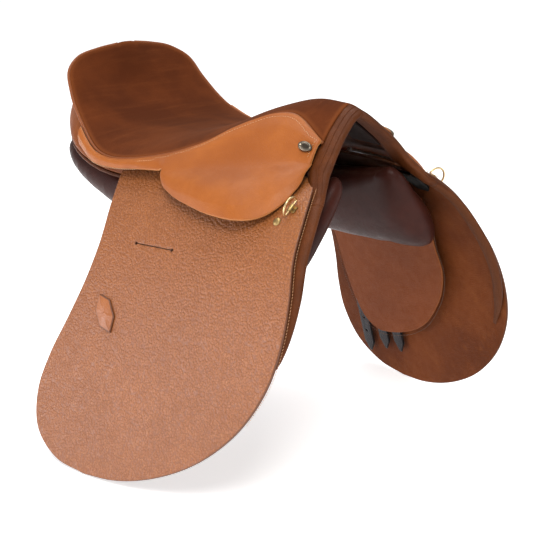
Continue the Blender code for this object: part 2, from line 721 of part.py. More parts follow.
def make_billets_left():
    """Three pointed straps side by side, and the web above them."""
    for number, (u, tip) in enumerate(BILLETS, 1):
        steps = [*np.linspace(BILLET_TOP, tip - BILLET_POINT, 8), tip - 0.45 * BILLET_POINT, tip]
        rows = []
        for v in steps:
            half = BILLET_HALF_WIDTH * min(1.0, 0.12 + (tip - v) / BILLET_POINT)
            centre = u - BILLET_LEAN * (u - BILLETS[1][0]) * (tip - v) / (tip - BILLET_TOP)
            rows.append([side_point(centre + half * k, v, BILLET_OUT) for k in (-1.0, 0.0, 1.0)])
        strap = sheet(f"billet_{number}_left", rows, BILLET_THICKNESS, "billet_leather")
        top = u - BILLET_LEAN * (u - BILLETS[1][0])
        move_origin(strap, side_point(top, BILLET_TOP, BILLET_OUT))
    front = [(0.028, 0.062), (0.032, BILLET_TOP - 0.002)]
    rear = [(0.128, 0.062), (0.130, BILLET_TOP - 0.002)]
    sheet("billet_web_left", side_rows(front, rear, 5, 5, BILLET_OUT), WEB_THICKNESS, "webbing")


# ---------------------------------------------------------------- panels

def make_panel_left():
    """A stuffed cushion as a cage of rings, swollen outwards low at the front, under the knee."""
    rings = []
    for y, x, z, half_width, half_thickness, slope in PANEL_STATIONS:
        angle = math.radians(slope)
        wide = Vector((math.cos(angle), 0.0, -math.sin(angle)))
        thick = Vector((math.sin(angle), 0.0, math.cos(angle)))
        knee = KNEE_SWELL * float(np.interp(y, KNEE_Y, KNEE_SHARE))
        ring = []
        for k in range(PANEL_SIDES):
            turn = (2 * k + 1) * math.pi / PANEL_SIDES
            c, s = math.cos(turn), math.sin(turn)
            a = half_width * CAGE_WIDER * math.copysign(abs(c) ** PANEL_FULLNESS, c)
            b = half_thickness * CAGE_THICKER * math.copysign(abs(s) ** PANEL_FULLNESS, s)
            if s > 0:
                b += knee * max(0.0, 1 - ((c - KNEE_CENTRE) / KNEE_SPREAD) ** 2)
            ring.append(Vector((x, y, z)) + wide * a + thick * b)
        rings.append(ring)
    obj = add_object("panel_left", ring_mesh("panel_left", rings), "panel_leather")
    soft = obj.modifiers.new("soft", "SUBSURF")
    soft.levels = soft.render_levels = 1


def make_panel_channel():
    """The leather that joins the two panels over the spine."""
    line = smooth(CHANNEL_LINE, 9)
    across = np.linspace(-CHANNEL_HALF_WIDTH, CHANNEL_HALF_WIDTH, 7)
    rows = [[(x, y, z + 0.006 - 6.0 * x * x) for x in across] for y, z in line]
    sheet("panel_channel", rows, FACING_THICKNESS, "panel_leather")


# ---------------------------------------------------------------- tree side parts and metalwork

def make_tree_point_left():
    rows = side_rows(POINT_FRONT, POINT_REAR, 6, 4, POINT_OUT)
    sheet("tree_point_left", rows, STEEL_THICKNESS, "steel")


def make_stirrup_bar_left():
    """A steel hook for the stirrup leather: a foot plate, a riser at the front and a bar over it."""
    half = BAR_LENGTH / 2
    foot = BAR_FOOT_THICKNESS
    low = foot + BAR_SPACE
    high = low + BAR_THICKNESS
    outline = [
        (half + BAR_TAIL, 0.0), (half + BAR_TAIL, foot), (-half + BAR_RISER, foot),
        (-half + BAR_RISER, low), (half, low), (half, high), (-half + BAR_CORNER, high),
        (-half, high - BAR_CORNER), (-half, 0.0),
    ]
    frame = side_frame(BAR_U, BAR_V, BAR_FOOT, "down")
    extruded("stirrup_bar_left", [outline], BAR_WIDTH, "steel", frame)
    pivot = frame @ Matrix.Translation((half + CATCH_BACK, foot + CATCH_HEIGHT, 0.0))
    make_catch_left(pivot)


def make_catch_left(pivot):
    """A small lever on a pin that keeps the stirrup leather on the bar."""
    hole = arc((0, 0), CATCH_HOLE_RADIUS, 0, 330, 12)
    lever = arc((0, 0), 0.0026, 180, 360, 9)
    lever += [(0.0026, 0.0045), (0.0005, 0.0064), (-0.0026, 0.0064)]
    extruded("bar_catch_left", [lever, hole], CATCH_WIDTH, "steel", pivot)
    end = CATCH_PIN_LENGTH / 2
    pin = [(0.0, end), (CATCH_PIN_RADIUS, end), (CATCH_PIN_RADIUS, -end), (0.0, -end)]
    turned("catch_pin_left", pin, "steel", pivot)


def make_dee_left():
    """A D of brass wire that turns in a clip on the flap, and a stud below it."""
    base = side_frame(DEE_U, DEE_V, DEE_OUT, "down")
    foot, top, side = -0.0030, -0.0018, 0.0062
    eye = arc((0, 0), CLIP_EYE_RADIUS, 0, 180, 13)
    eye += [(-CLIP_EYE_RADIUS, top), (-side, top), (-side, foot)]
    eye += [(side, foot), (side, top), (CLIP_EYE_RADIUS, top)]
    hole = arc((0, 0), CLIP_HOLE_RADIUS, 0, 330, 12)
    extruded("dee_clip_left", [eye, hole], CLIP_WIDTH, "brass", base)
    tilted = base @ Matrix.Rotation(DEE_TILT, 4, "Z")
    half = DEE_HALF_WIDTH
    bend = arc((0.0, DEE_STRAIGHT), half, 180, 0, 13)
    loop = [(0.0, 0.0, z) for z in np.linspace(half, -half, 6)]
    loop += [(0.0, away, z) for z, away in bend]
    wire = [tilted @ Vector(p) for p in loop]
    ring = tube("dee_ring_left", wire, DEE_WIRE_RADIUS, "brass", closed=True)
    move_origin(ring, base.translation)
    dome = [(0.0, 0.0020), (0.0026, 0.0018), (0.0046, 0.0010), (0.0052, 0.0), (0.0, 0.0)]
    turned("dee_stud_left", dome, "brass", side_frame(STUD_U, STUD_V, BAR_FOOT))


def make_nail_left(skirt_top):
    """The oval head of the nail that holds the skirt's front corner."""
    row, column = 2, 1
    point = Vector(skirt_top[row][column])
    across = Vector(skirt_top[row + 1][column] - skirt_top[row - 1][column]).normalized()
    along = Vector(skirt_top[row][column + 1] - skirt_top[row][column - 1]).normalized()
    out = across.cross(along).normalized()
    out = out if out.x > 0 else -out
    axes = Matrix((along, out.cross(along), out)).transposed().to_4x4()
    place = Matrix.Translation(point + out * (SKIRT_THICKNESS / 2 + GAP)) @ axes
    dome = [(0.0, 1.0), (0.45, 0.93), (0.88, 0.57), (1.0, 0.13), (1.0, 0.0), (0.0, 0.0)]
    head = [(NAIL_RADIUS * radius, NAIL_HEIGHT * height) for radius, height in dome]
    turned("skirt_nail_left", head, "nickel", place @ Matrix.Diagonal((1.0, NAIL_OVAL, 1.0, 1.0)))


def add_right_side():
    """The right side repeats every left piece, mirrored across the centre plane."""
    mirror = bpy.data.objects.new("right_side", None)
    mirror.scale = (-1.0, 1.0, 1.0)
    PARTS.objects.link(mirror)
    for left in [obj for obj in PARTS.objects if obj.name.endswith("_left")]:
        right = left.copy()
        right.name = left.name.replace("_left", "_right")
        right.parent = mirror
        right.matrix_local = left.matrix_world
        PARTS.objects.link(right)


clear_scene()
PARTS = collection(OBJECT_NAME)
CUTTERS = collection("cutters")
make_seat()
make_head()
skirt_top_points = make_skirt_left()
make_nail_left(skirt_top_points)
make_rear_wall()
make_pommel_roll()
make_flap_left()
make_edge_roll_left()
make_keeper_left()
make_sweat_flap_left()
make_billets_left()
make_panel_left()
make_panel_channel()
make_tree_point_left()
make_stirrup_bar_left()
make_dee_left()
add_right_side()
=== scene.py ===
"""The look of an English saddle: leather, stitching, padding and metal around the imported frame.

+X is the rider's left, -Y is forward and +Z is up, in metres. Side pieces are made on the left
and mirrored to the right.
"""

import math

import bmesh
import bpy
import numpy as np
from mathutils import Matrix, Vector


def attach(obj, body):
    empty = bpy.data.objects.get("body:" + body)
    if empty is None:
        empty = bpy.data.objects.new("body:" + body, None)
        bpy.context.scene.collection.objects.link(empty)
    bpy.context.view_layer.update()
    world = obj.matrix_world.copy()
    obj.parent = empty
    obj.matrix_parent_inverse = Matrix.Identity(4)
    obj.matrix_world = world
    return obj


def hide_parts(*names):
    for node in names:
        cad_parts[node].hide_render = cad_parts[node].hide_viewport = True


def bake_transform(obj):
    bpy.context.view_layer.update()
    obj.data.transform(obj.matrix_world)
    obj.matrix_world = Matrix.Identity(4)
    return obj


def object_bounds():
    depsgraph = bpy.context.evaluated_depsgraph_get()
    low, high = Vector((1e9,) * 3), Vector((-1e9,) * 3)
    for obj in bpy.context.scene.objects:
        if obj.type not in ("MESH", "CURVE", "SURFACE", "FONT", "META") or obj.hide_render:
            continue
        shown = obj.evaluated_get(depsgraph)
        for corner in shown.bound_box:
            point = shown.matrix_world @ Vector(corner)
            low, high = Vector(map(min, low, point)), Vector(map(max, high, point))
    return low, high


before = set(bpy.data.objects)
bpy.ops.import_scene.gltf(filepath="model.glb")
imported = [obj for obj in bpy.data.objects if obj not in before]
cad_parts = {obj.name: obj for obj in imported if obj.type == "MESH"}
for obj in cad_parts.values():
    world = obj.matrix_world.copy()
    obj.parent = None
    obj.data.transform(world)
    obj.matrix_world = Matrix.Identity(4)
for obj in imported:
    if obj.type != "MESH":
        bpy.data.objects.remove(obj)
cad_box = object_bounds()

ROOT = "saddle"
MIRROR = np.array((-1.0, 1.0, 1.0))

# ---------------------------------------------------------------- sizes shared with the frame

FLAP_THICKNESS = 0.0042
SKIRT_THICKNESS = 0.0036
COVER_THICKNESS = 0.003
SWEAT_THICKNESS = 0.003
FACING_THICKNESS = 0.0026
BILLET_THICKNESS = 0.0034
KEEPER_THICKNESS = 0.0026

# Side surface that the flaps follow: v runs down it and u runs rearwards along it
FLAP_Y = -0.12
FLAP_Z = 0.07
TOP_HALF_WIDTH = 0.069
TOP_SLOPE = math.radians(76.5)
LOW_SLOPE = math.radians(16.2)
BEND_LENGTH = 0.09
FLARE = 0.32
BEND_V = 0.115
BEND_REACH = 0.012

FLAP_FRONT = [
    (-0.104, -0.005), (-0.125, 0.022), (-0.145, 0.062), (-0.1615, 0.115), (-0.176, 0.155),
    (-0.184, 0.205), (-0.181, 0.250), (-0.159, 0.305), (-0.113, 0.359), (-0.045, 0.402),
    (0.020, 0.423), (0.062, 0.4275),
]
FLAP_REAR = [
    (0.178, 0.066), (0.168, 0.090), (0.160, 0.115), (0.150, 0.155), (0.149, 0.200),
    (0.158, 0.255), (0.170, 0.305), (0.173, 0.350), (0.157, 0.393), (0.115, 0.421),
    (0.062, 0.4275),
]
FLAP_CENTRE = (0.0, 0.20)
SLOT_FRONT = (0.025, 0.142)
SLOT_REAR = (0.087, 0.147)
SWEAT_FRONT = [
    (-0.101, 0.075), (-0.092, 0.130), (-0.088, 0.168), (-0.090, 0.205), (-0.078, 0.245),
    (-0.059, 0.275), (-0.040, 0.298), (-0.008, 0.322), (0.0285, 0.338), (0.052, 0.345),
]
SWEAT_REAR = [
    (0.104, 0.075), (0.112, 0.130), (0.1177, 0.184), (0.1197, 0.230), (0.119, 0.275),
    (0.113, 0.308), (0.1034, 0.332), (0.090, 0.3435), (0.073, 0.348), (0.052, 0.345),
]
SWEAT_CENTRE = (0.0, 0.19)
SWEAT_OUT = -0.0155
BILLETS = ((0.0445, 0.379), (0.0780, 0.385), (0.1175, 0.401))
BILLET_TOP = 0.118
BILLET_LEAN = 0.32
BILLET_HALF_WIDTH = 0.0102
BILLET_POINT = 0.018
BILLET_OUT = -0.0086
KEEPER_START = (0.114, 0.2175)
KEEPER_END = (0.077, 0.2575)
KEEPER_LENGTH = 0.054
KEEPER_HALF_WIDTH = 0.0125
KEEPER_LIFT = 0.0038

# Seat, skirt and rear wall curves, from the pommel to the cantle on the left
SEAT_EDGE = [
    (0.0515, -0.2205, 0.1125), (0.0415, -0.152, 0.1345), (0.066, -0.104, 0.117),
    (0.090, -0.060, 0.090), (0.124, 0.008, 0.064), (0.138, 0.085, 0.055), (0.120, 0.155, 0.080),
    (0.109, 0.194, 0.113), (0.099, 0.213, 0.138), (0.078, 0.2235, 0.152),
    (0.042, 0.2245, 0.161), (0.014, 0.222, 0.165),
]
SEAT_SPINE = [
    (0, -0.2085, 0.1490), (0, -0.160, 0.147), (0, -0.105, 0.131), (0, -0.055, 0.108),
    (0, 0.000, 0.088), (0, 0.070, 0.074), (0, 0.135, 0.078), (0, 0.185, 0.108),
    (0, 0.214, 0.153), (0, 0.2205, 0.166),
]
SEAT_CROWN_FRONT = 1.35
SEAT_CROWN = 2.4
HINGE_FRONT = (0.0680, -0.2215, 0.0907)
HINGE_REAR = (0.1384, -0.0315, 0.0542)
STRIP_EDGE = [
    (0.143, 0.010, 0.049), (0.148, 0.050, 0.044), (0.145, 0.095, 0.043), (0.130, 0.148, 0.055),
]
LOBE_EDGE = [
    (0.0695, -0.2225, 0.0885), (0.080, -0.223, 0.0800), (0.0915, -0.2272, 0.0692),
    (0.103, -0.2275, 0.0603), (0.111, -0.2265, 0.0530), (0.123, -0.2235, 0.0450),
    (0.135, -0.2168, 0.0370), (0.148, -0.206, 0.0318), (0.157, -0.1925, 0.0300),
    (0.162, -0.158, 0.0287), (0.158, -0.110, 0.0298), (0.152, -0.068, 0.0345),
    (0.146, -0.045, 0.0410), (0.1395, -0.0335, 0.0500),
]
SEAM_FRONT = np.array((0.0012, 0.0, -0.0002))
SEAM_REAR = np.array((0.0036, 0.0, -0.0028))
SEAM_INSET = 0.0065
WELT_CORD = 0.0019
LOBE_GAP = 0.0028
LOBE_SWELL = 0.012
LOBE_DEPTH = 0.06
WELT_LINE = [
    (0.112, 0.012, 0.030), (0.123, 0.050, 0.030), (0.131, 0.095, 0.033), (0.127, 0.135, 0.038),
    (0.115, 0.176, 0.045), (0.098, 0.207, 0.049), (0.072, 0.238, 0.055), (0.035, 0.250, 0.060),
    (0.0, 0.253, 0.062),
]
WALL_SWELL = 0.006

# Rolls over the pommel and down the front of each flap
POMMEL_ROLL_LINE = [
    (0.0, -0.2172, 0.1395), (0.010, -0.2180, 0.1342), (0.020, -0.2205, 0.1268),
    (0.030, -0.2235, 0.1182), (0.040, -0.2275, 0.1092), (0.048, -0.2307, 0.1008),
    (0.056, -0.2337, 0.0915), (0.066, -0.2375, 0.0790),
]
ROLL_HEIGHT = 0.0048
PIPING_PLACES = (7, 10)
PIPING_RADIUS = 0.0007
ROLL_WIDTH_TOP = 0.0130
ROLL_WIDTH_END = 0.0100
ROLL_OUT = -FLAP_THICKNESS / 2 - 0.0004 - ROLL_HEIGHT
EDGE_ROLL_WIDTH = 0.0085
ROLL_LINE = [
    (-0.124, 0.011), (-0.131, 0.022), (-0.150, 0.062), (-0.1655, 0.115), (-0.1765, 0.155),
    (-0.179, 0.205), (-0.171, 0.240), (-0.158, 0.270),
]

# ---------------------------------------------------------------- curves and surfaces


def smooth(points, count):
    """Points at even steps along a smooth curve through the given ones."""
    through = np.array(points, float)
    chord = np.linalg.norm(np.diff(through, axis=0), axis=1)
    along = np.concatenate([[0.0], np.cumsum(chord)])
    slope = np.gradient(through, along, axis=0)
    at = np.linspace(0.0, along[-1], count)
    i = np.clip(np.searchsorted(along, at, side="right") - 1, 0, len(through) - 2)
    span = (along[i + 1] - along[i])[:, None]
    t = (at - along[i])[:, None] / span
    start = (2 * t**3 - 3 * t**2 + 1) * through[i] + (t**3 - 2 * t**2 + t) * span * slope[i]
    end = (3 * t**2 - 2 * t**3) * through[i + 1] + (t**3 - t**2) * span * slope[i + 1]
    return start + end


def unit(vectors):
    length = np.linalg.norm(vectors, axis=-1, keepdims=True)
    return vectors / np.maximum(length, 1e-12)


V_STEPS = np.linspace(-0.06, 0.60, 661)


def slope_at(v):
    return LOW_SLOPE + (TOP_SLOPE - LOW_SLOPE) * np.exp(-np.maximum(v, 0.0) / BEND_LENGTH)


def running_sum(values):
    step = V_STEPS[1] - V_STEPS[0]
    total = np.concatenate([[0.0], np.cumsum((values[1:] + values[:-1]) / 2 * step)])
    return total - np.interp(0.0, V_STEPS, total)


OUT_STEPS = running_sum(np.sin(slope_at(V_STEPS)))
DOWN_STEPS = running_sum(np.cos(slope_at(V_STEPS)))


def side_surface(uv, out=0.0):
    """Points of the side surface at (u, v) pairs, and the unit vectors out of it."""
    u, v = np.array(uv, float).reshape(-1, 2).T
    slope = slope_at(v)
    along = unit(np.stack([FLARE * v, np.ones_like(v), np.zeros_like(v)], 1))
    down = np.stack([np.sin(slope) + FLARE * u, np.zeros_like(v), -np.cos(slope)], 1)
    normals = unit(np.cross(down, along))
    x = TOP_HALF_WIDTH + np.interp(v, V_STEPS, OUT_STEPS) + FLARE * u * v
    z = FLAP_Z - np.interp(v, V_STEPS, DOWN_STEPS)
    points = np.stack([x, u + FLAP_Y, z], 1)
    return points + normals * np.reshape(out, (-1, 1)), normals


def resampled(points, count=None, step=None, closed=False):
    """The polyline's points at even distances along it."""
    points = np.array(points, float)
    if closed:
        points = np.concatenate([points, points[:1]])
    along = np.concatenate([[0.0], np.cumsum(np.linalg.norm(np.diff(points, axis=0), axis=1))])
    if count is None:
        count = max(2, int(along[-1] / step))
    at = np.linspace(0.0, along[-1], count + 1 if closed else count)
    made = np.stack([np.interp(at, along, points[:, k]) for k in range(points.shape[1])], 1)
    return made[:-1] if closed else made


# ---------------------------------------------------------------- meshes


def mesh_object(name, points, faces, material_list, face_slots=None, edge=None):
    data = bpy.data.meshes.new(name)
    data.from_pydata([tuple(p) for p in points], [], faces)
    for material in material_list:
        data.materials.append(material)
    if face_slots is not None:
        data.polygons.foreach_set("material_index", face_slots)
    if edge is not None:
        attribute = data.attributes.new("edge", "FLOAT", "POINT")
        attribute.data.foreach_set("value", np.array(edge, np.float32))
    data.validate()
    data.shade_smooth()
    obj = bpy.data.objects.new(name, data)
    bpy.context.scene.collection.objects.link(obj)
    return obj


def two_sided(name, points, normals, faces, edge, thickness, materials, radius=0.0013):
    """A closed sheet around a middle surface, with rounded edges where edge is zero."""
    points, normals, edge = np.array(points), np.array(normals), np.array(edge)
    share = np.clip(edge / radius, 0.0, 1.0)
    half = thickness / 2 * np.sqrt(1.0 - (1.0 - share) ** 2)
    rim = edge <= 0.0
    top = points + normals * half[:, None]
    inner = np.flatnonzero(~rim)
    lower = np.arange(len(points))
    lower[inner] = len(points) + np.arange(len(inner))
    bottom = (points - normals * half[:, None])[inner]
    back = [tuple(int(lower[i]) for i in reversed(face)) for face in faces]
    slots = [0] * len(faces) + [len(materials) - 1] * len(back)
    everything = np.concatenate([top, bottom])
    edges = np.concatenate([edge, edge[inner]])
    return mesh_object(name, everything, list(faces) + back, materials, slots, edges)


def grid_faces(rows, columns, first=0, wrap=False):
    """Quads over a grid of points numbered row by row."""
    faces = []
    for i in range(rows - 1):
        for j in range(columns if wrap else columns - 1):
            a = first + i * columns + j
            b = first + i * columns + (j + 1) % columns
            faces.append((a, b, b + columns, a + columns))
    return faces


def facing_out(points, faces, towards):
    """The faces turned so that the first ones look the way of towards."""
    a, b, c = (np.array(points[i]) for i in faces[len(faces) // 2][:3])
    if np.cross(b - a, c - a) @ np.array(towards) < 0:
        return [tuple(reversed(face)) for face in faces]
    return faces


def edge_distance(points, border):
    """How far each point is from a closed border line."""
    start = np.array(border)
    end = np.roll(start, -1, axis=0)
    reach = end - start
    size = np.maximum((reach**2).sum(1), 1e-12)
    best = np.full(len(points), 1e9)
    for a, d, s in zip(start, reach, size):
        away = points - a
        t = np.clip(away @ d / s, 0.0, 1.0)
        best = np.minimum(best, np.linalg.norm(away - t[:, None] * d, axis=1))
    return best


RING_STEPS = (0.0, 0.0003, 0.0007, 0.0013, 0.0022, 0.0035, 0.005, 0.007, 0.0095, 0.0125)


def leaf(name, outline, centre, thickness, out, materials, count=260, rings=24, dome=0.0):
    """A sheet with any rounded outline on the side surface, built of rings that follow its edge."""
    outline = resampled(outline, count=count, closed=True)
    centre = np.array(centre)
    tangent = unit(np.roll(outline, -1, axis=0) - np.roll(outline, 1, axis=0))
    inwards = np.stack([-tangent[:, 1], tangent[:, 0]], 1)
    to_centre = unit(centre - outline)
    lean = np.abs((inwards * to_centre).sum(1))
    levels = [outline + to_centre * (d / np.maximum(lean, 0.35))[:, None] for d in RING_STEPS]
    distance = [np.full(count, d) for d in RING_STEPS]
    last = levels[-1]
    for share in np.linspace(0.0, 1.0, rings + 1)[1:-1]:
        levels.append(last * (1 - share) + centre * share)
        distance.append(RING_STEPS[-1] + np.linalg.norm(levels[-1] - last, axis=1) * 0.9)
    uv = np.concatenate(levels + [centre[None]])
    edge = np.concatenate(distance + [[0.1]])
    faces = grid_faces(len(levels), count, wrap=True)
    hub = len(uv) - 1
    rim = hub - count
    faces += [(rim + j, rim + (j + 1) % count, hub) for j in range(count)]
    lift = out + dome * np.clip(edge / 0.012, 0.0, 1.0) ** 0.7
    points, normals = side_surface(uv, lift)
    a, b, c = (points[i] for i in faces[0][:3])
    if np.cross(b - a, c - a) @ normals[0] < 0:
        faces = [tuple(reversed(face)) for face in faces]
    return two_sided(name, points, normals, faces, edge, thickness, materials)


def loft(name, rings, materials, edge=None):
    """A closed surface through rings of points, with a face at each end."""
    rings = np.array(rings)
    count, sides = rings.shape[:2]
    faces = grid_faces(count, sides, wrap=True)
    faces.append(tuple(range(sides)))
    faces.append(tuple(range((count - 1) * sides, count * sides)))
    obj = mesh_object(name, rings.reshape(-1, 3), faces, materials, edge=edge)
    outward(obj)
    return obj


def outward(obj):
    """Turns every face of a closed mesh to look outwards."""
    mesh = bmesh.new()
    mesh.from_mesh(obj.data)
    bmesh.ops.recalc_face_normals(mesh, faces=mesh.faces)
    mesh.to_mesh(obj.data)
    mesh.free()


def mirrored(obj, name):
    """A copy of a left piece on the right side."""
    data = obj.data.copy()
    data.transform(Matrix.Diagonal((-1.0, 1.0, 1.0, 1.0)))
    data.flip_normals()
    copy = bpy.data.objects.new(name, data)
    bpy.context.scene.collection.objects.link(copy)
    return copy


def applied(obj):
    """Leaves the result of the object's modifiers as its mesh."""
    bpy.context.view_layer.update()
    graph = bpy.context.evaluated_depsgraph_get()
    data = bpy.data.meshes.new_from_object(obj.evaluated_get(graph))
    obj.modifiers.clear()
    obj.data = data
    return obj


def both_sides(left, body, nodes, blend=False):
    """Places a left piece and its mirror image. body and nodes are names without their side."""
    stem = left.name[: -len("_left")]
    made = {"left": left, "right": mirrored(left, stem + "_right")}
    for side, obj in made.items():
        named = [f"{node}_{side}" for node in nodes]
        where = body if body == ROOT else f"{body}_{side}"
        if blend:
            start, end = (
                side_surface([(0.0, BEND_V + k * BEND_REACH)])[0][0] for k in (-1.0, 1.0)
            )
            if side == "right":
                start, end = start * MIRROR, end * MIRROR
            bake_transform(obj)
        else:
            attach(obj, where)
        if named:
            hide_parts(*named)
    return made


def stitches(name, line, normals, material, pitch=0.0036, length=0.0026, radius=0.00042):
    """A row of short slanted stitches along a line on a surface."""
    line, normals = np.array(line), np.array(normals)
    along = np.concatenate([[0.0], np.cumsum(np.linalg.norm(np.diff(line, axis=0), axis=1))])
    at = np.arange(pitch, along[-1] - pitch / 2, pitch)
    spots = np.stack([np.interp(at, along, line[:, k]) for k in range(3)], 1)
    ups = unit(np.stack([np.interp(at, along, normals[:, k]) for k in range(3)], 1))
    ways = unit(np.gradient(spots, axis=0))
    across = np.cross(ups, ways)
    ways = unit(ways + 0.22 * across)
    across = np.cross(ups, ways)
    stations = ((-0.5, 0.30, -0.8), (-0.32, 0.9, 0.0), (0.0, 1.0, 0.25), (0.32, 0.9, 0.0), (0.5, 0.30, -0.8))
    turns = np.linspace(0.0, 2 * math.pi, 6, endpoint=False)
    points = []
    for reach, width, lift in stations:
        for turn in turns:
            side = math.cos(turn) * width * radius
            high = (math.sin(turn) * width + lift) * radius
            points.append(spots + ways * reach * length + across * side + ups * high)
    points = np.stack(points, 1)
    size = len(stations) * 6
    pattern = grid_faces(len(stations), 6, wrap=True)
    pattern += [tuple(reversed(range(6))), tuple(range(size - 6, size))]
    faces = [tuple(i + k * size for i in face) for k in range(len(spots)) for face in pattern]
    obj = mesh_object(name, points.reshape(-1, 3), faces, [material])
    outward(obj)
    return obj


# ---------------------------------------------------------------- materials


class Shader:
    """A material's node tree, built from short calls."""

    def __init__(self, name):
        self.material = bpy.data.materials.new(name)
        self.material.use_nodes = True
        self.tree = self.material.node_tree
        self.surface = self.tree.nodes["Principled BSDF"]

    def put(self, socket, value):
        if isinstance(value, bpy.types.NodeSocket):
            self.tree.links.new(value, socket)
        else:
            socket.default_value = value

    def node(self, kind, settings=None, **inputs):
        made = self.tree.nodes.new(kind)
        for key, value in (settings or {}).items():
            setattr(made, key, value)
        for key, value in inputs.items():
            self.put(made.inputs[key.replace("_", " ")], value)
        return made

    def place(self, scale=(1.0, 1.0, 1.0)):
        """Object coordinates in metres, scaled along each axis."""
        source = self.node("ShaderNodeTexCoord").outputs["Object"]
        return self.node("ShaderNodeMapping", Vector=source, Scale=scale).outputs[0]

    def noise(self, scale, detail=3.0, place=None, roughness=0.55):
        inputs = {"Scale": scale, "Detail": detail, "Roughness": roughness}
        inputs["Vector"] = place or self.place()
        return self.node("ShaderNodeTexNoise", **inputs).outputs["Fac"]

    def cells(self, scale, feature="F1", place=None):
        inputs = {"Scale": scale, "Vector": place or self.place()}
        return self.node("ShaderNodeTexVoronoi", {"feature": feature}, **inputs).outputs["Distance"]

    def math(self, operation, a, b=0.0):
        made = self.node("ShaderNodeMath", {"operation": operation})
        self.put(made.inputs[0], a)
        self.put(made.inputs[1], b)
        return made.outputs[0]

    def ramp(self, value, low, high, out_low=0.0, out_high=1.0):
        made = self.node("ShaderNodeMapRange", {"interpolation_type": "SMOOTHSTEP"})
        for key, number in (
            ("Value", value), ("From Min", low), ("From Max", high), ("To Min", out_low), ("To Max", out_high),
        ):
            self.put(made.inputs[key], number)
        return made.outputs["Result"]

    def mix(self, factor, a, b, blend="MIX"):
        made = self.node("ShaderNodeMix", {"data_type": "RGBA", "blend_type": blend})
        self.put(made.inputs[0], factor)
        self.put(made.inputs[6], (*a, 1.0) if isinstance(a, tuple) else a)
        self.put(made.inputs[7], (*b, 1.0) if isinstance(b, tuple) else b)
        return made.outputs[2]

    def edge(self):
        """Distance from the sheet's edge, in metres."""
        return self.node("ShaderNodeAttribute", {"attribute_name": "edge"}).outputs["Fac"]

    def bump(self, height, distance, strength=1.0, below=None):
        made = self.node("ShaderNodeBump", Height=height, Distance=distance, Strength=strength)
        if below is not None:
            self.put(made.inputs["Normal"], below)
        return made.outputs[0]

    def finish(self, colour, roughness, normal=None, **plain):
        self.put(self.surface.inputs["Base Color"], colour)
        self.put(self.surface.inputs["Roughness"], roughness)
        if normal is not None:
            self.put(self.surface.inputs["Normal"], normal)
        for key, value in plain.items():
            self.surface.inputs[key.replace("_", " ")].default_value = value
        return self.material


def leather(
    name, colour, deep, roughness, grain=430.0, grain_height=0.00022, grain_tone=0.35, shine=0.5,
    cut=None, cut_width=0.0012, crease=None, wear=None, sheen=0.0, fleck=None, cloud=1.0,
):
    """Grained leather. cut is the colour of its cut edge and crease the depth of a line inside it; the crease line is
    darkened as painted shade in its groove, and the optional light flecks are painted glints on the grain.
    """
    s = Shader(name)
    place = s.place()
    warped = s.node("ShaderNodeVectorMath", {"operation": "ADD"})
    s.put(warped.inputs[0], place)
    wobble = s.node("ShaderNodeTexNoise", Vector=place, Scale=grain * 0.35, Detail=2.0)
    shift = s.node("ShaderNodeVectorMath", {"operation": "SCALE"}, Scale=0.9 / grain)
    s.put(shift.inputs[0], wobble.outputs["Color"])
    s.put(warped.inputs[1], shift.outputs[0])
    pebble = s.cells(grain, place=warped.outputs[0])
    groove = s.ramp(pebble, 0.30, 0.75)
    cloudy = s.noise(13.0, 4.0, place)
    fine = s.noise(95.0, 5.0, place, 0.65)
    blotch = s.ramp(cloudy, 0.32, 0.70)
    tone = s.mix(s.math("MULTIPLY", blotch, cloud), colour, deep)
    tone = s.mix(s.ramp(fine, 0.35, 0.72, 0.0, 0.35), tone, deep)
    tone = s.mix(s.math("MULTIPLY", groove, grain_tone), tone, deep)
    # Painted highlight: light flecks on the grain stand in for the glints of its pebbles.
    if fleck is not None:
        glint_noise = s.noise(grain * 1.5, 2.0, place, 0.7)
        tone = s.mix(s.ramp(glint_noise, 0.52, 0.66, 0.0, 0.55), tone, fleck)
    height = s.math("MULTIPLY", groove, -1.0)
    height = s.math("ADD", height, s.math("MULTIPLY", fine, 0.55))
    rough = s.ramp(fine, 0.2, 0.8, roughness - 0.06, roughness + 0.08)
    if wear is not None:
        worn = s.ramp(s.noise(22.0, 6.0, s.place(), 0.7), 0.56, 0.74, 0.0, 0.55)
        tone = s.mix(worn, tone, wear)
    if cut is not None or crease is not None:
        edge = s.edge()
    # The crease line is pressed in by the bump and darkened towards deep as painted shade in its groove.
    if crease is not None:
        line = s.math("ABSOLUTE", s.math("SUBTRACT", edge, crease))
        crease_dent_and_shade = s.ramp(line, 0.0, 0.0011, 1.0, 0.0)
        tone = s.mix(s.math("MULTIPLY", crease_dent_and_shade, 0.55), tone, deep)
        height = s.math("SUBTRACT", height, s.math("MULTIPLY", crease_dent_and_shade, 2.6))
    if cut is not None:
        rim = s.ramp(edge, cut_width * 0.55, cut_width, 1.0, 0.0)
        tone = s.mix(s.math("MULTIPLY", rim, 0.85), tone, cut)
    normal = s.bump(height, grain_height)
    material = s.finish(tone, rough, normal)
    s.surface.inputs["Specular IOR Level"].default_value = shine
    s.surface.inputs["Sheen Weight"].default_value = sheen
    s.surface.inputs["Sheen Roughness"].default_value = 0.4
    s.surface.inputs["Sheen Tint"].default_value = (0.85, 0.88, 1.0, 1.0)
    return material


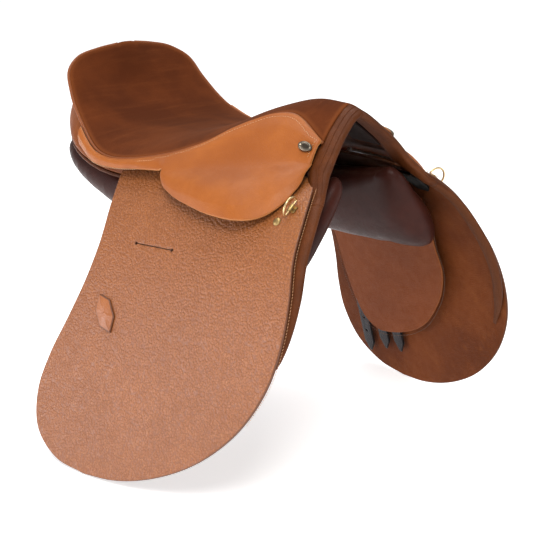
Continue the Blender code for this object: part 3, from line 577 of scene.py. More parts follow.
def suede(name, colour, deep, light):
    """A brushed nap with streaks across the seat, painted lighter towards its edges as a painted highlight on the
    rolled rim.
    """
    s = Shader(name)
    streak = s.noise(1.0, 5.0, s.place((9.0, 95.0, 95.0)), 0.6)
    broad = s.noise(11.0, 4.0)
    nap = s.noise(900.0, 3.0)
    tone = s.mix(s.ramp(broad, 0.34, 0.68), colour, deep)
    tone = s.mix(s.ramp(streak, 0.48, 0.78, 0.0, 0.30), tone, light)
    tone = s.mix(s.ramp(nap, 0.35, 0.7, 0.0, 0.30), tone, deep)
    # Painted highlight: the nap is mixed towards the light colour near the seat's edge, where the rolled rim catches
    # the light.
    rim = s.ramp(s.edge(), 0.0012, 0.0085, 1.0, 0.0)
    tone = s.mix(s.math("MULTIPLY", rim, 0.65), tone, light)
    height = s.math("ADD", nap, s.math("MULTIPLY", streak, 0.8))
    material = s.finish(tone, s.ramp(nap, 0.2, 0.8, 0.78, 0.95), s.bump(height, 0.00025))
    s.surface.inputs["Sheen Weight"].default_value = 0.04
    s.surface.inputs["Sheen Roughness"].default_value = 0.45
    s.surface.inputs["Sheen Tint"].default_value = (1.0, 0.62, 0.40, 1.0)
    s.surface.inputs["Specular IOR Level"].default_value = 0.06
    return material


def metal(name, colour, dark, roughness, tarnish=0.5):
    """Polished or brushed metal with tarnish and fine scratches."""
    s = Shader(name)
    cloud = s.noise(160.0, 5.0)
    scratch = s.noise(1.0, 2.0, s.place((900.0, 900.0, 90.0)))
    stain = s.ramp(cloud, 0.45, 0.75, 0.0, tarnish)
    tone = s.mix(stain, colour, dark)
    rough = s.math("ADD", s.ramp(scratch, 0.3, 0.7, roughness, roughness + 0.14), s.math("MULTIPLY", stain, 0.3))
    return s.finish(tone, rough, s.bump(scratch, 0.00003), Metallic=1.0)


def webbing(name, colour, deep):
    """A close plain weave of flat threads."""
    s = Shader(name)
    waves = []
    for turn in (0.0, math.pi / 2):
        place = s.node("ShaderNodeMapping", Vector=s.place(), Rotation=(0.0, 0.0, turn)).outputs[0]
        wave = s.node("ShaderNodeTexWave", Vector=place, Scale=260.0, Distortion=0.6, Detail=1.0)
        waves.append(wave.outputs["Fac"])
    weave = s.math("MULTIPLY", waves[0], waves[1])
    slub = s.noise(240.0, 4.0)
    tone = s.mix(s.ramp(weave, 0.0, 0.6), deep, colour)
    tone = s.mix(s.ramp(slub, 0.4, 0.7, 0.0, 0.4), tone, deep)
    return s.finish(tone, 0.9, s.bump(weave, 0.0004), Sheen_Weight=0.3)


def foam(name, colour, deep):
    """Open-cell latex."""
    s = Shader(name)
    pores = s.cells(520.0)
    cloud = s.noise(40.0, 4.0)
    tone = s.mix(s.ramp(pores, 0.0, 0.35, 0.6, 0.0), colour, deep)
    tone = s.mix(s.ramp(cloud, 0.4, 0.7, 0.0, 0.3), tone, deep)
    return s.finish(tone, 0.95, s.bump(s.ramp(pores, 0.0, 0.4), 0.0005))


def laminate(name, colour, deep):
    """Thin beech layers under a dark glue coat."""
    s = Shader(name)
    rings = s.node(
        "ShaderNodeTexWave", {"wave_type": "BANDS", "bands_direction": "X"},
        Vector=s.place((1.0, 0.08, 1.0)), Scale=55.0, Distortion=5.0, Detail=3.0,
    ).outputs["Fac"]
    fibre = s.noise(1.0, 4.0, s.place((600.0, 26.0, 600.0)))
    tone = s.mix(s.ramp(rings, 0.2, 0.8), colour, deep)
    tone = s.mix(s.ramp(fibre, 0.4, 0.7, 0.0, 0.45), tone, deep)
    return s.finish(tone, s.ramp(fibre, 0.3, 0.7, 0.35, 0.6), s.bump(fibre, 0.0002))


def thread(name, colour, deep):
    """Waxed linen thread with a visible twist."""
    s = Shader(name)
    twist = s.node("ShaderNodeTexWave", Vector=s.place(), Scale=900.0, Distortion=1.0).outputs["Fac"]
    wax = s.noise(300.0, 3.0)
    tone = s.mix(s.ramp(twist, 0.3, 0.8), colour, deep)
    tone = s.mix(s.ramp(wax, 0.4, 0.7, 0.0, 0.5), tone, deep)
    return s.finish(tone, 0.6, s.bump(twist, 0.00015))


# The flap's light flecks are painted glints on its pebble grain.
FLAP_LEATHER = leather(
    "flap_grain", (0.272, 0.084, 0.0165), (0.180, 0.052, 0.0100), 0.42, grain=340.0, grain_height=0.00042,
    grain_tone=0.75, shine=0.48, cut=(0.10, 0.032, 0.012), fleck=(0.42, 0.165, 0.060), cloud=0.45, sheen=0.03,
)
FLAP_BACK = leather(
    "flap_flesh_side", (0.165, 0.042, 0.0085), (0.098, 0.023, 0.0050), 0.70, grain=700.0, grain_height=0.00035,
    grain_tone=0.3, shine=0.10, cut=(0.09, 0.030, 0.012), wear=(0.200, 0.058, 0.013),
)
# The skirt's cut edge is lighter than its face: partly the raw edge's own colour, partly a painted highlight where
# the edge catches the light.
SKIRT_LEATHER = leather(
    "skirt_grain", (0.355, 0.103, 0.0165), (0.260, 0.068, 0.0100), 0.42, grain=760.0, grain_height=0.00012,
    grain_tone=0.30, shine=0.24, cut=(0.42, 0.17, 0.055),
)
WALL_LEATHER = leather(
    "wall_grain", (0.240, 0.066, 0.0125), (0.165, 0.042, 0.0080), 0.46, grain=760.0, grain_height=0.00012,
    grain_tone=0.30, shine=0.18, cut=(0.20, 0.06, 0.02),
)
KEEPER_LEATHER = leather(
    "keeper_grain", (0.35, 0.120, 0.037), (0.25, 0.078, 0.023), 0.34, grain=520.0, grain_height=0.00015,
    grain_tone=0.25, shine=0.5, cut=(0.08, 0.024, 0.009), cut_width=0.0018,
)
ROLL_LEATHER = leather(
    "roll_grain", (0.112, 0.029, 0.0055), (0.058, 0.0145, 0.0030), 0.50, grain=620.0, grain_height=0.0002,
    grain_tone=0.30, shine=0.14, wear=(0.150, 0.042, 0.011),
)
# Near-black lining under the arch: painted shade, standing in for the deep shade there.
LINING_LEATHER = leather(
    "lining_grain", (0.020, 0.008, 0.006), (0.010, 0.004, 0.003), 0.60, grain=520.0, shine=0.1,
)
PANEL_LEATHER = leather(
    "panel_grain", (0.048, 0.0115, 0.0075), (0.026, 0.0070, 0.0048), 0.36, grain=900.0,
    grain_height=0.00008, grain_tone=0.2, shine=0.10,
)
SWEAT_LEATHER = leather(
    "sweat_grain", (0.185, 0.047, 0.0110), (0.125, 0.030, 0.0070), 0.60, grain=560.0, grain_height=0.00025,
    grain_tone=0.25, shine=0.10, cut=(0.22, 0.07, 0.022), cloud=0.6,
)
# The straps' crease line is darkened as painted shade in its groove.
BILLET_LEATHER = leather(
    "strap_grain", (0.013, 0.009, 0.012), (0.007, 0.005, 0.007), 0.42, grain=620.0, grain_height=0.00018,
    grain_tone=0.3, shine=0.18, cut=(0.008, 0.006, 0.006), crease=0.0028,
)
SEAT_LEATHER = suede("seat_nap", (0.110, 0.0260, 0.0060), (0.066, 0.0150, 0.0038), (0.165, 0.045, 0.012))
BRASS = metal("polished_brass", (0.70, 0.53, 0.28), (0.30, 0.19, 0.08), 0.24, 0.5)
OLD_BRASS = metal("dull_brass", (0.42, 0.29, 0.12), (0.13, 0.085, 0.035), 0.36, 0.8)
NICKEL = metal("dark_nickel", (0.20, 0.17, 0.13), (0.06, 0.05, 0.04), 0.28, 0.7)
NAIL_HOLLOW = metal("nail_hollow", (0.075, 0.06, 0.045), (0.03, 0.025, 0.02), 0.4, 0.6)
# Near-black steel for the frame's plates, rails and points seen under the arch: painted shade, standing in for the
# deep shade there.
BLACK_STEEL = metal("lacquered_steel", (0.022, 0.020, 0.019), (0.010, 0.009, 0.008), 0.55, 0.6)
STEEL = metal("bright_steel", (0.48, 0.49, 0.51), (0.20, 0.19, 0.18), 0.30, 0.5)
FOAM = foam("latex", (0.78, 0.70, 0.52), (0.55, 0.45, 0.28))
WEBBING = webbing("linen_web", (0.60, 0.52, 0.38), (0.30, 0.24, 0.15))
LAMINATE = laminate("beech_laminate", (0.26, 0.15, 0.075), (0.12, 0.065, 0.03))
THREAD = thread("tan_thread", (0.52, 0.27, 0.13), (0.30, 0.13, 0.05))
PALE_THREAD = thread("pale_thread", (0.62, 0.36, 0.20), (0.40, 0.20, 0.09))
DARK_THREAD = thread("brown_thread", (0.16, 0.07, 0.035), (0.07, 0.03, 0.015))


# ---------------------------------------------------------------- flaps, sweat flaps, straps

FLAP_OUTLINE = np.concatenate([smooth(FLAP_FRONT, 120), smooth(FLAP_REAR, 110)[::-1][1:]])
SWEAT_OUTLINE = np.concatenate([smooth(SWEAT_FRONT, 80), smooth(SWEAT_REAR, 80)[::-1][1:]])


def inset(line, distance):
    """A (u, v) line moved sideways to its right."""
    tangent = unit(np.gradient(line, axis=0))
    return line + np.stack([tangent[:, 1], -tangent[:, 0]], 1) * distance


def cut_slot(flap):
    """A narrow slit with a round hole at each end."""
    mesh = bmesh.new()
    (front, rear), normals = side_surface([SLOT_FRONT, SLOT_REAR])
    reach = rear - front
    along = unit(reach)
    out = unit(normals.mean(0))
    across = unit(np.cross(out, along))
    out = np.cross(along, across)
    turn = Matrix(np.stack([along, across, out], 1)).to_4x4()
    for spot in (front, rear):
        place = Matrix.Translation(Vector(spot)) @ turn
        bmesh.ops.create_cone(
            mesh, cap_ends=True, segments=24, radius1=0.0021, radius2=0.0021, depth=0.02, matrix=place
        )
    middle = Matrix.Translation(Vector((front + rear) / 2)) @ turn
    size = Matrix.Diagonal((float(np.linalg.norm(reach)), 0.0011, 0.0205, 1.0))
    bmesh.ops.create_cube(mesh, size=1.0, matrix=middle @ size)
    data = bpy.data.meshes.new("slot_cutter")
    mesh.to_mesh(data)
    mesh.free()
    cutter = bpy.data.objects.new("slot_cutter", data)
    bpy.context.scene.collection.objects.link(cutter)
    hole = flap.modifiers.new("slot", "BOOLEAN")
    hole.object = cutter
    hole.solver = "EXACT"
    hole.use_self = True
    applied(flap)
    bpy.data.objects.remove(cutter, do_unlink=True)
    flap.data.shade_smooth()


def make_flaps():
    flap = leaf(
        "flap_sheet_left", FLAP_OUTLINE, FLAP_CENTRE, FLAP_THICKNESS, 0.0,
        [FLAP_LEATHER, FLAP_BACK], count=340, rings=34,
    )
    cut_slot(flap)
    both_sides(flap, "flap", ["flap_top", "flap"], blend=True)
    line = inset(smooth(FLAP_FRONT[:8], 200), -0.0042)
    points, normals = side_surface(line, FLAP_THICKNESS / 2)
    row = stitches("flap_stitches_left", points, normals, THREAD)
    both_sides(row, "flap", [], blend=True)


def make_keepers():
    """A pointed loop of leather, raised in the middle."""
    start, end = np.array(KEEPER_START), np.array(KEEPER_END)
    along = unit(end - start)
    across = np.array((along[1], -along[0]))
    shape = [(0.0, 0.0), (0.06, 0.24), (0.27, 0.96), (0.31, 1.0), (0.69, 1.0), (0.73, 0.96), (0.94, 0.24), (1.0, 0.0)]
    shape += [(t, -w) for t, w in shape[-2:0:-1]]
    outline = [start + along * KEEPER_LENGTH * t + across * KEEPER_HALF_WIDTH * w for t, w in shape]
    centre = start + along * KEEPER_LENGTH / 2
    loop = leaf(
        "keeper_loop_left", outline, centre, KEEPER_THICKNESS, KEEPER_LIFT - 0.0009,
        [KEEPER_LEATHER, FLAP_BACK], count=120, rings=8, dome=0.0026,
    )
    both_sides(loop, "flap", ["keeper"])


def make_sweat_flaps():
    sheet = leaf(
        "sweat_sheet_left", SWEAT_OUTLINE, SWEAT_CENTRE, SWEAT_THICKNESS, SWEAT_OUT,
        [FLAP_BACK, SWEAT_LEATHER], count=260, rings=22,
    )
    both_sides(sheet, ROOT, ["sweat_flap"])
    for number, (edge, side) in enumerate(((SWEAT_FRONT, -1.0), (SWEAT_REAR, 1.0)), 1):
        line = inset(smooth(edge, 160), 0.0042 * side)
        points, normals = side_surface(line, SWEAT_OUT - SWEAT_THICKNESS / 2)
        row = stitches(f"sweat_stitches_{number}_left", points, -normals, DARK_THREAD)
        both_sides(row, ROOT, [])


def strap_shift(u, tip, v):
    """How far a strap's middle line is moved towards the middle strap's at v."""
    return -BILLET_LEAN * (u - BILLETS[1][0]) * (tip - v) / (tip - BILLET_TOP)


def make_billets():
    """Three pointed straps with a row of punched holes each."""
    for number, (u, tip) in enumerate(BILLETS, 1):
        half = BILLET_HALF_WIDTH
        point = tip - BILLET_POINT
        side = [(half, v) for v in np.linspace(BILLET_TOP, point, 30)]
        side += [(half * (0.12 + (tip - v) / BILLET_POINT), v) for v in np.linspace(point + 0.003, tip, 8)]
        outline = [(u + w + strap_shift(u, tip, v), v) for w, v in side]
        outline += [(u - w + strap_shift(u, tip, v), v) for w, v in reversed(side)]
        rows = 110
        steps = np.linspace(BILLET_TOP, tip, rows)
        widths = np.interp(steps, [v for _, v in side], [w for w, _ in side])
        across = np.array((-1.0, -0.93, -0.80, -0.5, 0.0, 0.5, 0.80, 0.93, 1.0))
        uv = np.stack([
            (u + strap_shift(u, tip, steps) + widths * across[:, None]).T, np.repeat(steps[:, None], len(across), 1)
        ], 2).reshape(-1, 2)
        points, normals = side_surface(uv, BILLET_OUT)
        border, _ = side_surface(resampled(outline, step=0.002, closed=True), BILLET_OUT)
        edge = edge_distance(points, border)
        grid = edge.reshape(rows, -1)
        grid[0] = grid[-1] = 0.0
        grid[:, 0] = grid[:, -1] = 0.0
        faces = facing_normals(points, normals, grid_faces(rows, len(across)))
        strap = two_sided(f"strap_{number}_left", points, normals, faces, edge, BILLET_THICKNESS, [BILLET_LEATHER])
        heights = [tip - 0.035 - 0.022 * k for k in range(8)]
        punch(strap, [(u + strap_shift(u, tip, v), v) for v in heights])
        both_sides(strap, f"billet_{number}", [f"billet_{number}"])


def facing_normals(points, normals, faces):
    """The faces turned to look along the surface's normals."""
    a, b, c = (points[i] for i in faces[len(faces) // 2][:3])
    if np.cross(b - a, c - a) @ normals[faces[len(faces) // 2][0]] < 0:
        return [tuple(reversed(face)) for face in faces]
    return faces


def punch(strap, spots):
    """Round holes through a strap."""
    mesh = bmesh.new()
    for spot in spots:
        (point,), (normal,) = side_surface([spot], BILLET_OUT)
        turn = Vector(normal).to_track_quat("Z", "Y").to_matrix().to_4x4()
        place = Matrix.Translation(Vector(point)) @ turn
        bmesh.ops.create_cone(
            mesh, cap_ends=True, segments=16, radius1=0.0021, radius2=0.0021, depth=0.012, matrix=place
        )
    data = bpy.data.meshes.new("punch")
    mesh.to_mesh(data)
    mesh.free()
    cutter = bpy.data.objects.new("punch", data)
    bpy.context.scene.collection.objects.link(cutter)
    hole = strap.modifiers.new("holes", "BOOLEAN")
    hole.object = cutter
    hole.solver = "EXACT"
    applied(strap)
    bpy.data.objects.remove(cutter, do_unlink=True)
    strap.data.shade_smooth()


# ---------------------------------------------------------------- seat, skirts, rear wall


def grid_normals(points):
    return unit(np.cross(np.gradient(points, axis=1), np.gradient(points, axis=0)))


def border_of(grid):
    """The points around a grid, in order."""
    return np.concatenate([grid[0], grid[1:, -1], grid[-1, ::-1][1:], grid[::-1, 0][1:-1]])


def grid_sheet(name, grid, thickness, materials, out=0.0, towards=(0, 0, 1), radius=0.0013):
    """A sheet over a grid of points whose normals look the way of towards."""
    normals = grid_normals(grid)
    middle = normals[grid.shape[0] // 2, grid.shape[1] // 2]
    if middle @ np.array(towards) < 0:
        normals = -normals
    points = (grid + normals * out).reshape(-1, 3)
    edge = edge_distance(points, border_of(points.reshape(grid.shape))).reshape(grid.shape[:2])
    edge[0] = edge[-1] = 0.0
    edge[:, 0] = edge[:, -1] = 0.0
    faces = facing_normals(points, normals.reshape(-1, 3), grid_faces(*grid.shape[:2]))
    return two_sided(
        name, points, normals.reshape(-1, 3), faces, edge.reshape(-1), thickness, materials, radius
    )


def bunched(count):
    """Shares from 0 to 1 that lie closer together at both ends."""
    even = np.linspace(0.0, 1.0, count)
    return 0.5 * even + 0.5 * (0.5 - 0.5 * np.cos(np.pi * even))


def seat_grid(rows, across):
    edge, spine = smooth(SEAT_EDGE, 301), smooth(SEAT_SPINE, 301)
    share = bunched(rows)
    at = np.linspace(0.0, 1.0, 301)
    edge, spine = (
        np.stack([np.interp(share, at, line[:, k]) for k in range(3)], 1) for line in (edge, spine)
    )
    crown = np.interp(share, (0.0, 0.12, 0.35), (SEAT_CROWN_FRONT, SEAT_CROWN_FRONT, SEAT_CROWN))
    size = np.abs(across)[None, :, None]
    points = spine[:, None] + (edge - spine)[:, None] * size ** crown[:, None, None]
    points[:, :, 0] = edge[:, None, 0] * across[None]
    return points


def make_seat():
    across = 2.0 * bunched(75) - 1.0
    grid = seat_grid(130, across)
    cover = grid_sheet(
        "seat_top", grid, COVER_THICKNESS, [SEAT_LEATHER], out=-COVER_THICKNESS / 2, radius=0.003
    )
    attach(cover, ROOT)
    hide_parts("seat_cover")


def make_seat_welt():
    """A round cord under the seat's sewn edge, which closes the seam to the skirt and the rear wall."""
    line = resampled(smooth(SEAT_EDGE, 401), count=170) + np.array((0.0006, 0.0, -0.0020))
    ways = unit(np.gradient(line, axis=0))
    across = unit(np.cross(ways, (0.0, 0.0, 1.0)))
    up = np.cross(across, ways)
    rings = [oval(p, u * WELT_CORD, a * WELT_CORD, sides=12) for p, u, a in zip(line, up, across)]
    both_sides(loft("seat_welt_left", rings, [WALL_LEATHER]), ROOT, [])


def between(top, bottom, shares, bulge):
    share = np.array(shares)[:, None, None]
    points = np.array(top)[None] * (1 - share) + np.array(bottom)[None] * share
    return points + np.sin(np.pi * share) * np.array((0.75, 0.0, 0.66)) * bulge


def make_skirts():
    """One sheet of leather from the seat's seam over the hinge line to the lobe's edge."""
    count, turn = 126, 71
    seam_points = smooth(SEAT_EDGE, 101)[:71]
    ease = np.interp(np.linspace(0.0, 1.0, count), (0.0, 0.35, 0.5), (0.0, 0.0, 1.0))[:, None]
    seam = smooth(seam_points[::5], count) + SEAM_FRONT + (SEAM_REAR - SEAM_FRONT) * ease
    hinge = np.linspace(HINGE_FRONT, HINGE_REAR, turn)
    strip = smooth([HINGE_REAR] + STRIP_EDGE, count - turn + 1)[1:]
    top = between(seam, np.concatenate([hinge, strip]), 1 - bunched(22)[::-1], 0.004)
    start = hinge + np.array((0.70, 0.0, -0.71)) * LOBE_GAP
    lobe_edge = smooth(LOBE_EDGE, turn)
    depth = np.linalg.norm(lobe_edge - start, axis=1)[None, :, None]
    lobe = between(start, lobe_edge, bunched(44), LOBE_SWELL * np.minimum(depth / LOBE_DEPTH, 1.0))
    whole = np.concatenate([top[:, :turn], lobe])
    for _ in range(60):
        whole[8:-12] += 0.35 * (whole[7:-13] + whole[9:-11] - 2 * whole[8:-12])
    rows = len(whole)
    rear = top[:, turn - 1 :].copy()
    rear[:, 0] = whole[: len(top), -1]
    front_normals, rear_normals = grid_normals(whole), grid_normals(rear)
    for normals in (front_normals, rear_normals):
        normals *= np.where(normals[..., :1] < 0, -1.0, 1.0)
    points = np.concatenate([whole.reshape(-1, 3), rear[:, 1:].reshape(-1, 3)])
    normals = np.concatenate([front_normals.reshape(-1, 3), rear_normals[:, 1:].reshape(-1, 3)])
    faces = grid_faces(rows, turn)
    first, columns = rows * turn, rear.shape[1] - 1
    faces += grid_faces(len(rear), columns, first=first)
    for i in range(len(rear) - 1):
        a, b = i * turn + turn - 1, first + i * columns
        faces.append((a, b, b + columns, a + turn))
    border = np.concatenate([
        whole[0], rear[0, 1:], rear[1:, -1], rear[-1, ::-1][1:], whole[len(rear) :, -1],
        whole[-1, ::-1][1:], whole[::-1, 0][1:-1],
    ])
    edge = edge_distance(points, border)
    edge[edge < 1e-7] = 0.0
    faces = facing_normals(points, normals, faces)
    skirt = two_sided("skirt_sheet_left", points, normals, faces, edge, SKIRT_THICKNESS, [SKIRT_LEATHER, FLAP_BACK])
    place_skirt(skirt, ["skirt_top", "skirt"])
    front = np.array([resampled(row, step=SEAM_INSET)[1] for row in whole[4 : len(top) - 1]])[::-1]
    above = np.array([resampled(top[:, j], step=SEAM_INSET)[1] for j in range(5, count)])
    line = resampled(np.concatenate([front, above]), step=0.002)
    kept = np.concatenate([front_normals[: len(top)].reshape(-1, 3), rear_normals.reshape(-1, 3)])
    spots = np.concatenate([whole[: len(top)].reshape(-1, 3), rear.reshape(-1, 3)])
    near = [((spots - point) ** 2).sum(1).argmin() for point in line]
    ups = unit(kept[near])
    row = stitches("skirt_stitches_left", line + ups * SKIRT_THICKNESS / 2, ups, PALE_THREAD)
    both_sides(row, ROOT, [])


def place_skirt(left, nodes):
    """Keeps the skirt and its mirror image as built and hides the frame's skirt parts; the strip behind the hinge
    stays under the seat.
    """
    middle = (np.array(HINGE_FRONT) + np.array(HINGE_REAR)) / 2
    axis = unit(np.array(HINGE_REAR) - np.array(HINGE_FRONT))
    away = np.array((0.62, 0.0, -0.78))
    away = unit(away - (away @ axis) * axis)
    stem = left.name[: -len("_left")]
    made = {"left": left, "right": mirrored(left, stem + "_right")}
    for side, obj in made.items():
        start, end = middle - away * 0.003, middle + away * 0.006
        if side == "right":
            start, end = start * MIRROR, end * MIRROR
        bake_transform(obj)
        if nodes:
            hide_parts(*[f"{node}_{side}" for node in nodes])


def make_rear_wall():
    count, rows = 91, 25
    seam = smooth(smooth(SEAT_EDGE, 101)[44:], count) + np.array((0.0, 0.0, -0.0092))
    step = np.linspace(0.0, 14.0, count)
    seam[:, 0] *= np.interp(step, (0, 7, 14), (0.90, 0.87, 0.87))
    seam[:, 1] += np.interp(step, (0, 7, 14), (0.0, -0.0050, -0.001))
    ease = np.linspace(0.0, 1.0, 9)[:, None] ** 2
    seam[-9:, :1] *= 1 - ease
    shares = np.linspace(0.0, 1.0, rows)
    wall = between(seam, smooth(WELT_LINE, count), shares, 0.0)
    low_down = np.sin(np.pi * shares**2.2)
    swell = np.outer(low_down, np.interp(step, (4, 7), (0.0, WALL_SWELL)))
    spread = wall * np.array((1.0, 1.0, 0.0)) - np.array((0.0, 0.05, 0.0))
    wall = wall + unit(spread) * swell[:, :, None]
    wall = np.concatenate([wall, (wall * MIRROR)[:, ::-1][:, 1:]], axis=1)
    facing = grid_sheet("cantle_wall", wall, FACING_THICKNESS, [WALL_LEATHER], towards=(0, 1, 0))
    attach(facing, ROOT)
    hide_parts("cantle_facing")


# ---------------------------------------------------------------- rolls


def oval(centre, high, wide, sides=28):
    turns = np.linspace(0.0, 2 * math.pi, sides, endpoint=False)[:, None]
    return centre + high * np.sin(turns) + wide * np.cos(turns)


def arch_line(count, lift=0.0, rearwards=0.0):
    line = smooth(POMMEL_ROLL_LINE, count)
    line = np.concatenate([(line * MIRROR)[:0:-1], line])
    slope = np.gradient(line, axis=0)
    away = unit(np.stack([-slope[:, 2], np.zeros(len(line)), slope[:, 0]], 1))
    return line + away * lift + np.array((0.0, rearwards, 0.0)), away


def edge_ovals(line, taper):
    """Oval rings along a (u, v) line under the side surface."""
    slope = unit(np.gradient(line, axis=0))
    points, normals = side_surface(line, ROLL_OUT + ROLL_HEIGHT * (1 - taper))
    v = line[:, 1]
    along = unit(np.stack([FLARE * v, np.ones_like(v), np.zeros_like(v)], 1))
    down = unit(np.cross(along, normals))
    wide = unit(along * slope[:, 1:] - down * slope[:, :1])
    return [
        oval(p, n * ROLL_HEIGHT * t**1.6, w * EDGE_ROLL_WIDTH * t)
        for p, n, w, t in zip(points, normals, wide, taper)
    ]


def brow_line(count):
    """The front edge of the seat and, beyond it, of the skirt, from the centre to the hinge line."""
    seat = seat_grid(130, np.linspace(0.0, 1.0, 30))[0]
    corner = seat[-1] + SEAM_FRONT
    skirt = np.linspace(corner, HINGE_FRONT, 8)
    return resampled(np.concatenate([seat, skirt]), count=count)


def pommel_ring(centre, away, brow, share):
    """A ring from under the seat's or skirt's edge, over the roll and back beneath it."""
    width = ROLL_WIDTH_TOP + (ROLL_WIDTH_END - ROLL_WIDTH_TOP) * share
    back, high = (brow - centre)[1], (brow - centre) @ away
    sink = 0.0014 + 0.0014 * share
    shape = [(back + 0.009, high - 0.0058), (back + 0.004, high - sink - 0.0014), (back + 0.0004, high - sink)]
    shape += [(back * 0.5, high - sink - 0.0010), (0.0, ROLL_HEIGHT * 1.32)]
    shape += [
        (width * across, ROLL_HEIGHT * up)
        for across, up in ((-0.36, 1.14), (-0.68, 0.84), (-0.90, 0.46), (-1.0, 0.0), (-0.92, -0.42), (-0.60, -0.84), (0.0, -1.0))
    ]
    shape += [(back + 0.003, min(-ROLL_HEIGHT, high - 0.011)), (back + 0.010, high - 0.0100)]
    loop = resampled(smooth(shape, 120), count=28, closed=True)
    return centre + np.outer(loop[:, 0], (0.0, 1.0, 0.0)) + np.outer(loop[:, 1], away)


def make_piping(name, line):
    """A thin sewn fold of leather that runs along the pommel's roll."""
    line = resampled(line, count=260)
    ways = unit(np.gradient(line, axis=0))
    side = unit(np.cross(ways, (0.0, 1.0, 0.0)))
    up = np.cross(side, ways)
    share = np.linspace(-1.0, 1.0, len(line))
    size = PIPING_RADIUS * np.minimum(1.0, (1.0 - np.abs(share)) / 0.06 + 0.2)
    rings = [oval(p, u * r, a * r, sides=8) for p, u, a, r in zip(line, up, side, size)]
    piping = loft(name, rings, [ROLL_LEATHER])
    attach(piping, ROOT)


def make_pommel():
    """The roll over the arch, which meets the seat above and runs into the flaps' own rolls."""
    count = 46
    line, away = arch_line(count)
    line, away = line[count - 1 :], away[count - 1 :]
    brow = brow_line(count)
    rings = [
        pommel_ring(c, n, b, i / (count - 1)) for i, (c, n, b) in enumerate(zip(line, away, brow))
    ]
    lower = smooth(ROLL_LINE, 90)
    lower = lower[: np.searchsorted(lower[:, 1], 0.040)]
    ovals = edge_ovals(lower, np.full(len(lower), 1.02))
    first = np.searchsorted(lower[:, 1], 0.024)
    start = rings[-1]
    bridge = []
    for share in np.linspace(0.0, 1.0, 9)[1:-1]:
        ease = share * share * (3 - 2 * share)
        bridge.append(start * (1 - ease) + ovals[first] * ease)
    left = rings + bridge + ovals[first:]
    right = [ring * MIRROR for ring in left[:0:-1]]
    band = loft("pommel_band", right + left, [ROLL_LEATHER])
    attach(band, ROOT)
    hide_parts("pommel_roll", "pommel_facing")
    for number, place in enumerate(PIPING_PLACES, 1):
        make_piping(f"pommel_piping_{number}", [ring[place] for ring in right + left])


def make_edge_rolls():
    line = smooth(ROLL_LINE, 90)
    line = line[np.searchsorted(line[:, 1], 0.030) :]
    share = np.linspace(0.0, 1.0, len(line))
    taper = np.interp(share, (0.0, 0.50, 0.8, 1.0), (1.0, 1.0, 0.85, 0.25))
    roll = loft("edge_band_left", edge_ovals(line, taper), [ROLL_LEATHER, FLAP_BACK])
    for face in roll.data.polygons:
        face.material_index = int(face.index % 28 in range(15, 27))
    both_sides(roll, "flap", ["edge_roll_top", "edge_roll"], blend=True)


# ---------------------------------------------------------------- panels


def stuffed(node, name, voxel=0.005, shrink=0.0016, cap=0.005):
    """A leather bag swollen by a cloth simulation from the frame's solid."""
    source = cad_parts[node]
    data = source.data.copy()
    data.transform(source.matrix_world)
    data.materials.clear()
    data.materials.append(PANEL_LEATHER)
    obj = bpy.data.objects.new(name, data)
    bpy.context.scene.collection.objects.link(obj)
    mesh = bmesh.new()
    mesh.from_mesh(data)
    bmesh.ops.remove_doubles(mesh, verts=mesh.verts, dist=1e-5)
    mesh.normal_update()
    for vert in mesh.verts:
        vert.co -= vert.normal * shrink
    mesh.to_mesh(data)
    mesh.free()
    remesh = obj.modifiers.new("remesh", "REMESH")
    remesh.mode = "VOXEL"
    remesh.voxel_size = voxel
    applied(obj)
    inflate(obj, cap)
    ease = obj.modifiers.new("ease", "SMOOTH")
    ease.factor, ease.iterations = 0.5, 12
    applied(obj)
    soft = obj.modifiers.new("soft", "SUBSURF")
    soft.levels = soft.render_levels = 1
    applied(obj)
    obj.data.shade_smooth()
    return obj


def inflate(obj, cap):
    before = np.array([v.co for v in obj.data.vertices])
    cloth = obj.modifiers.new("cloth", "CLOTH")
    cloth.settings.quality = 5
    cloth.settings.use_pressure = True
    cloth.settings.uniform_pressure_force = 4.0
    cloth.settings.effector_weights.gravity = 0.0
    cloth.settings.tension_stiffness = 25.0
    cloth.settings.compression_stiffness = 25.0
    cloth.settings.shear_stiffness = 12.0
    cloth.point_cache.frame_start = 1
    cloth.point_cache.frame_end = 20
    scene = bpy.context.scene
    for step in range(1, 21):
        scene.frame_set(step)
    applied(obj)
    scene.frame_set(1)
    after = np.array([v.co for v in obj.data.vertices])
    move = after - before
    size = np.linalg.norm(move, axis=1, keepdims=True)
    after = before + move * np.minimum(1.0, cap / np.maximum(size, 1e-9))
    obj.data.vertices.foreach_set("co", after.reshape(-1).astype(np.float32))
    obj.data.update()


def make_panels():
    panel = stuffed("panel_left", "panel_pad_left")
    both_sides(panel, ROOT, ["panel"])


# ---------------------------------------------------------------- small metal parts and inner parts


def refined(node, name, material, bevel=0.0003, levels=1, slot=None):
    """A smooth copy of a small frame part with softened edges."""
    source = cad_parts[node]
    mesh = bmesh.new()
    mesh.from_mesh(source.data)
    mesh.transform(source.matrix_world)
    bmesh.ops.remove_doubles(mesh, verts=mesh.verts, dist=1e-5)
    bmesh.ops.dissolve_limit(
        mesh, angle_limit=math.radians(2.0), verts=mesh.verts, edges=mesh.edges
    )
    sharp = [e for e in mesh.edges if len(e.link_faces) == 2 and e.calc_face_angle() > math.radians(38)]
    bmesh.ops.bevel(
        mesh, geom=sharp, offset=bevel, offset_type="OFFSET", segments=2, profile=0.5, affect="EDGES",
        clamp_overlap=True,
    )
    data = bpy.data.meshes.new(name)
    mesh.to_mesh(data)
    mesh.free()
    data.materials.clear()
    data.materials.append(material)
    obj = bpy.data.objects.new(name, data)
    bpy.context.scene.collection.objects.link(obj)
    data.shade_smooth()
    return obj


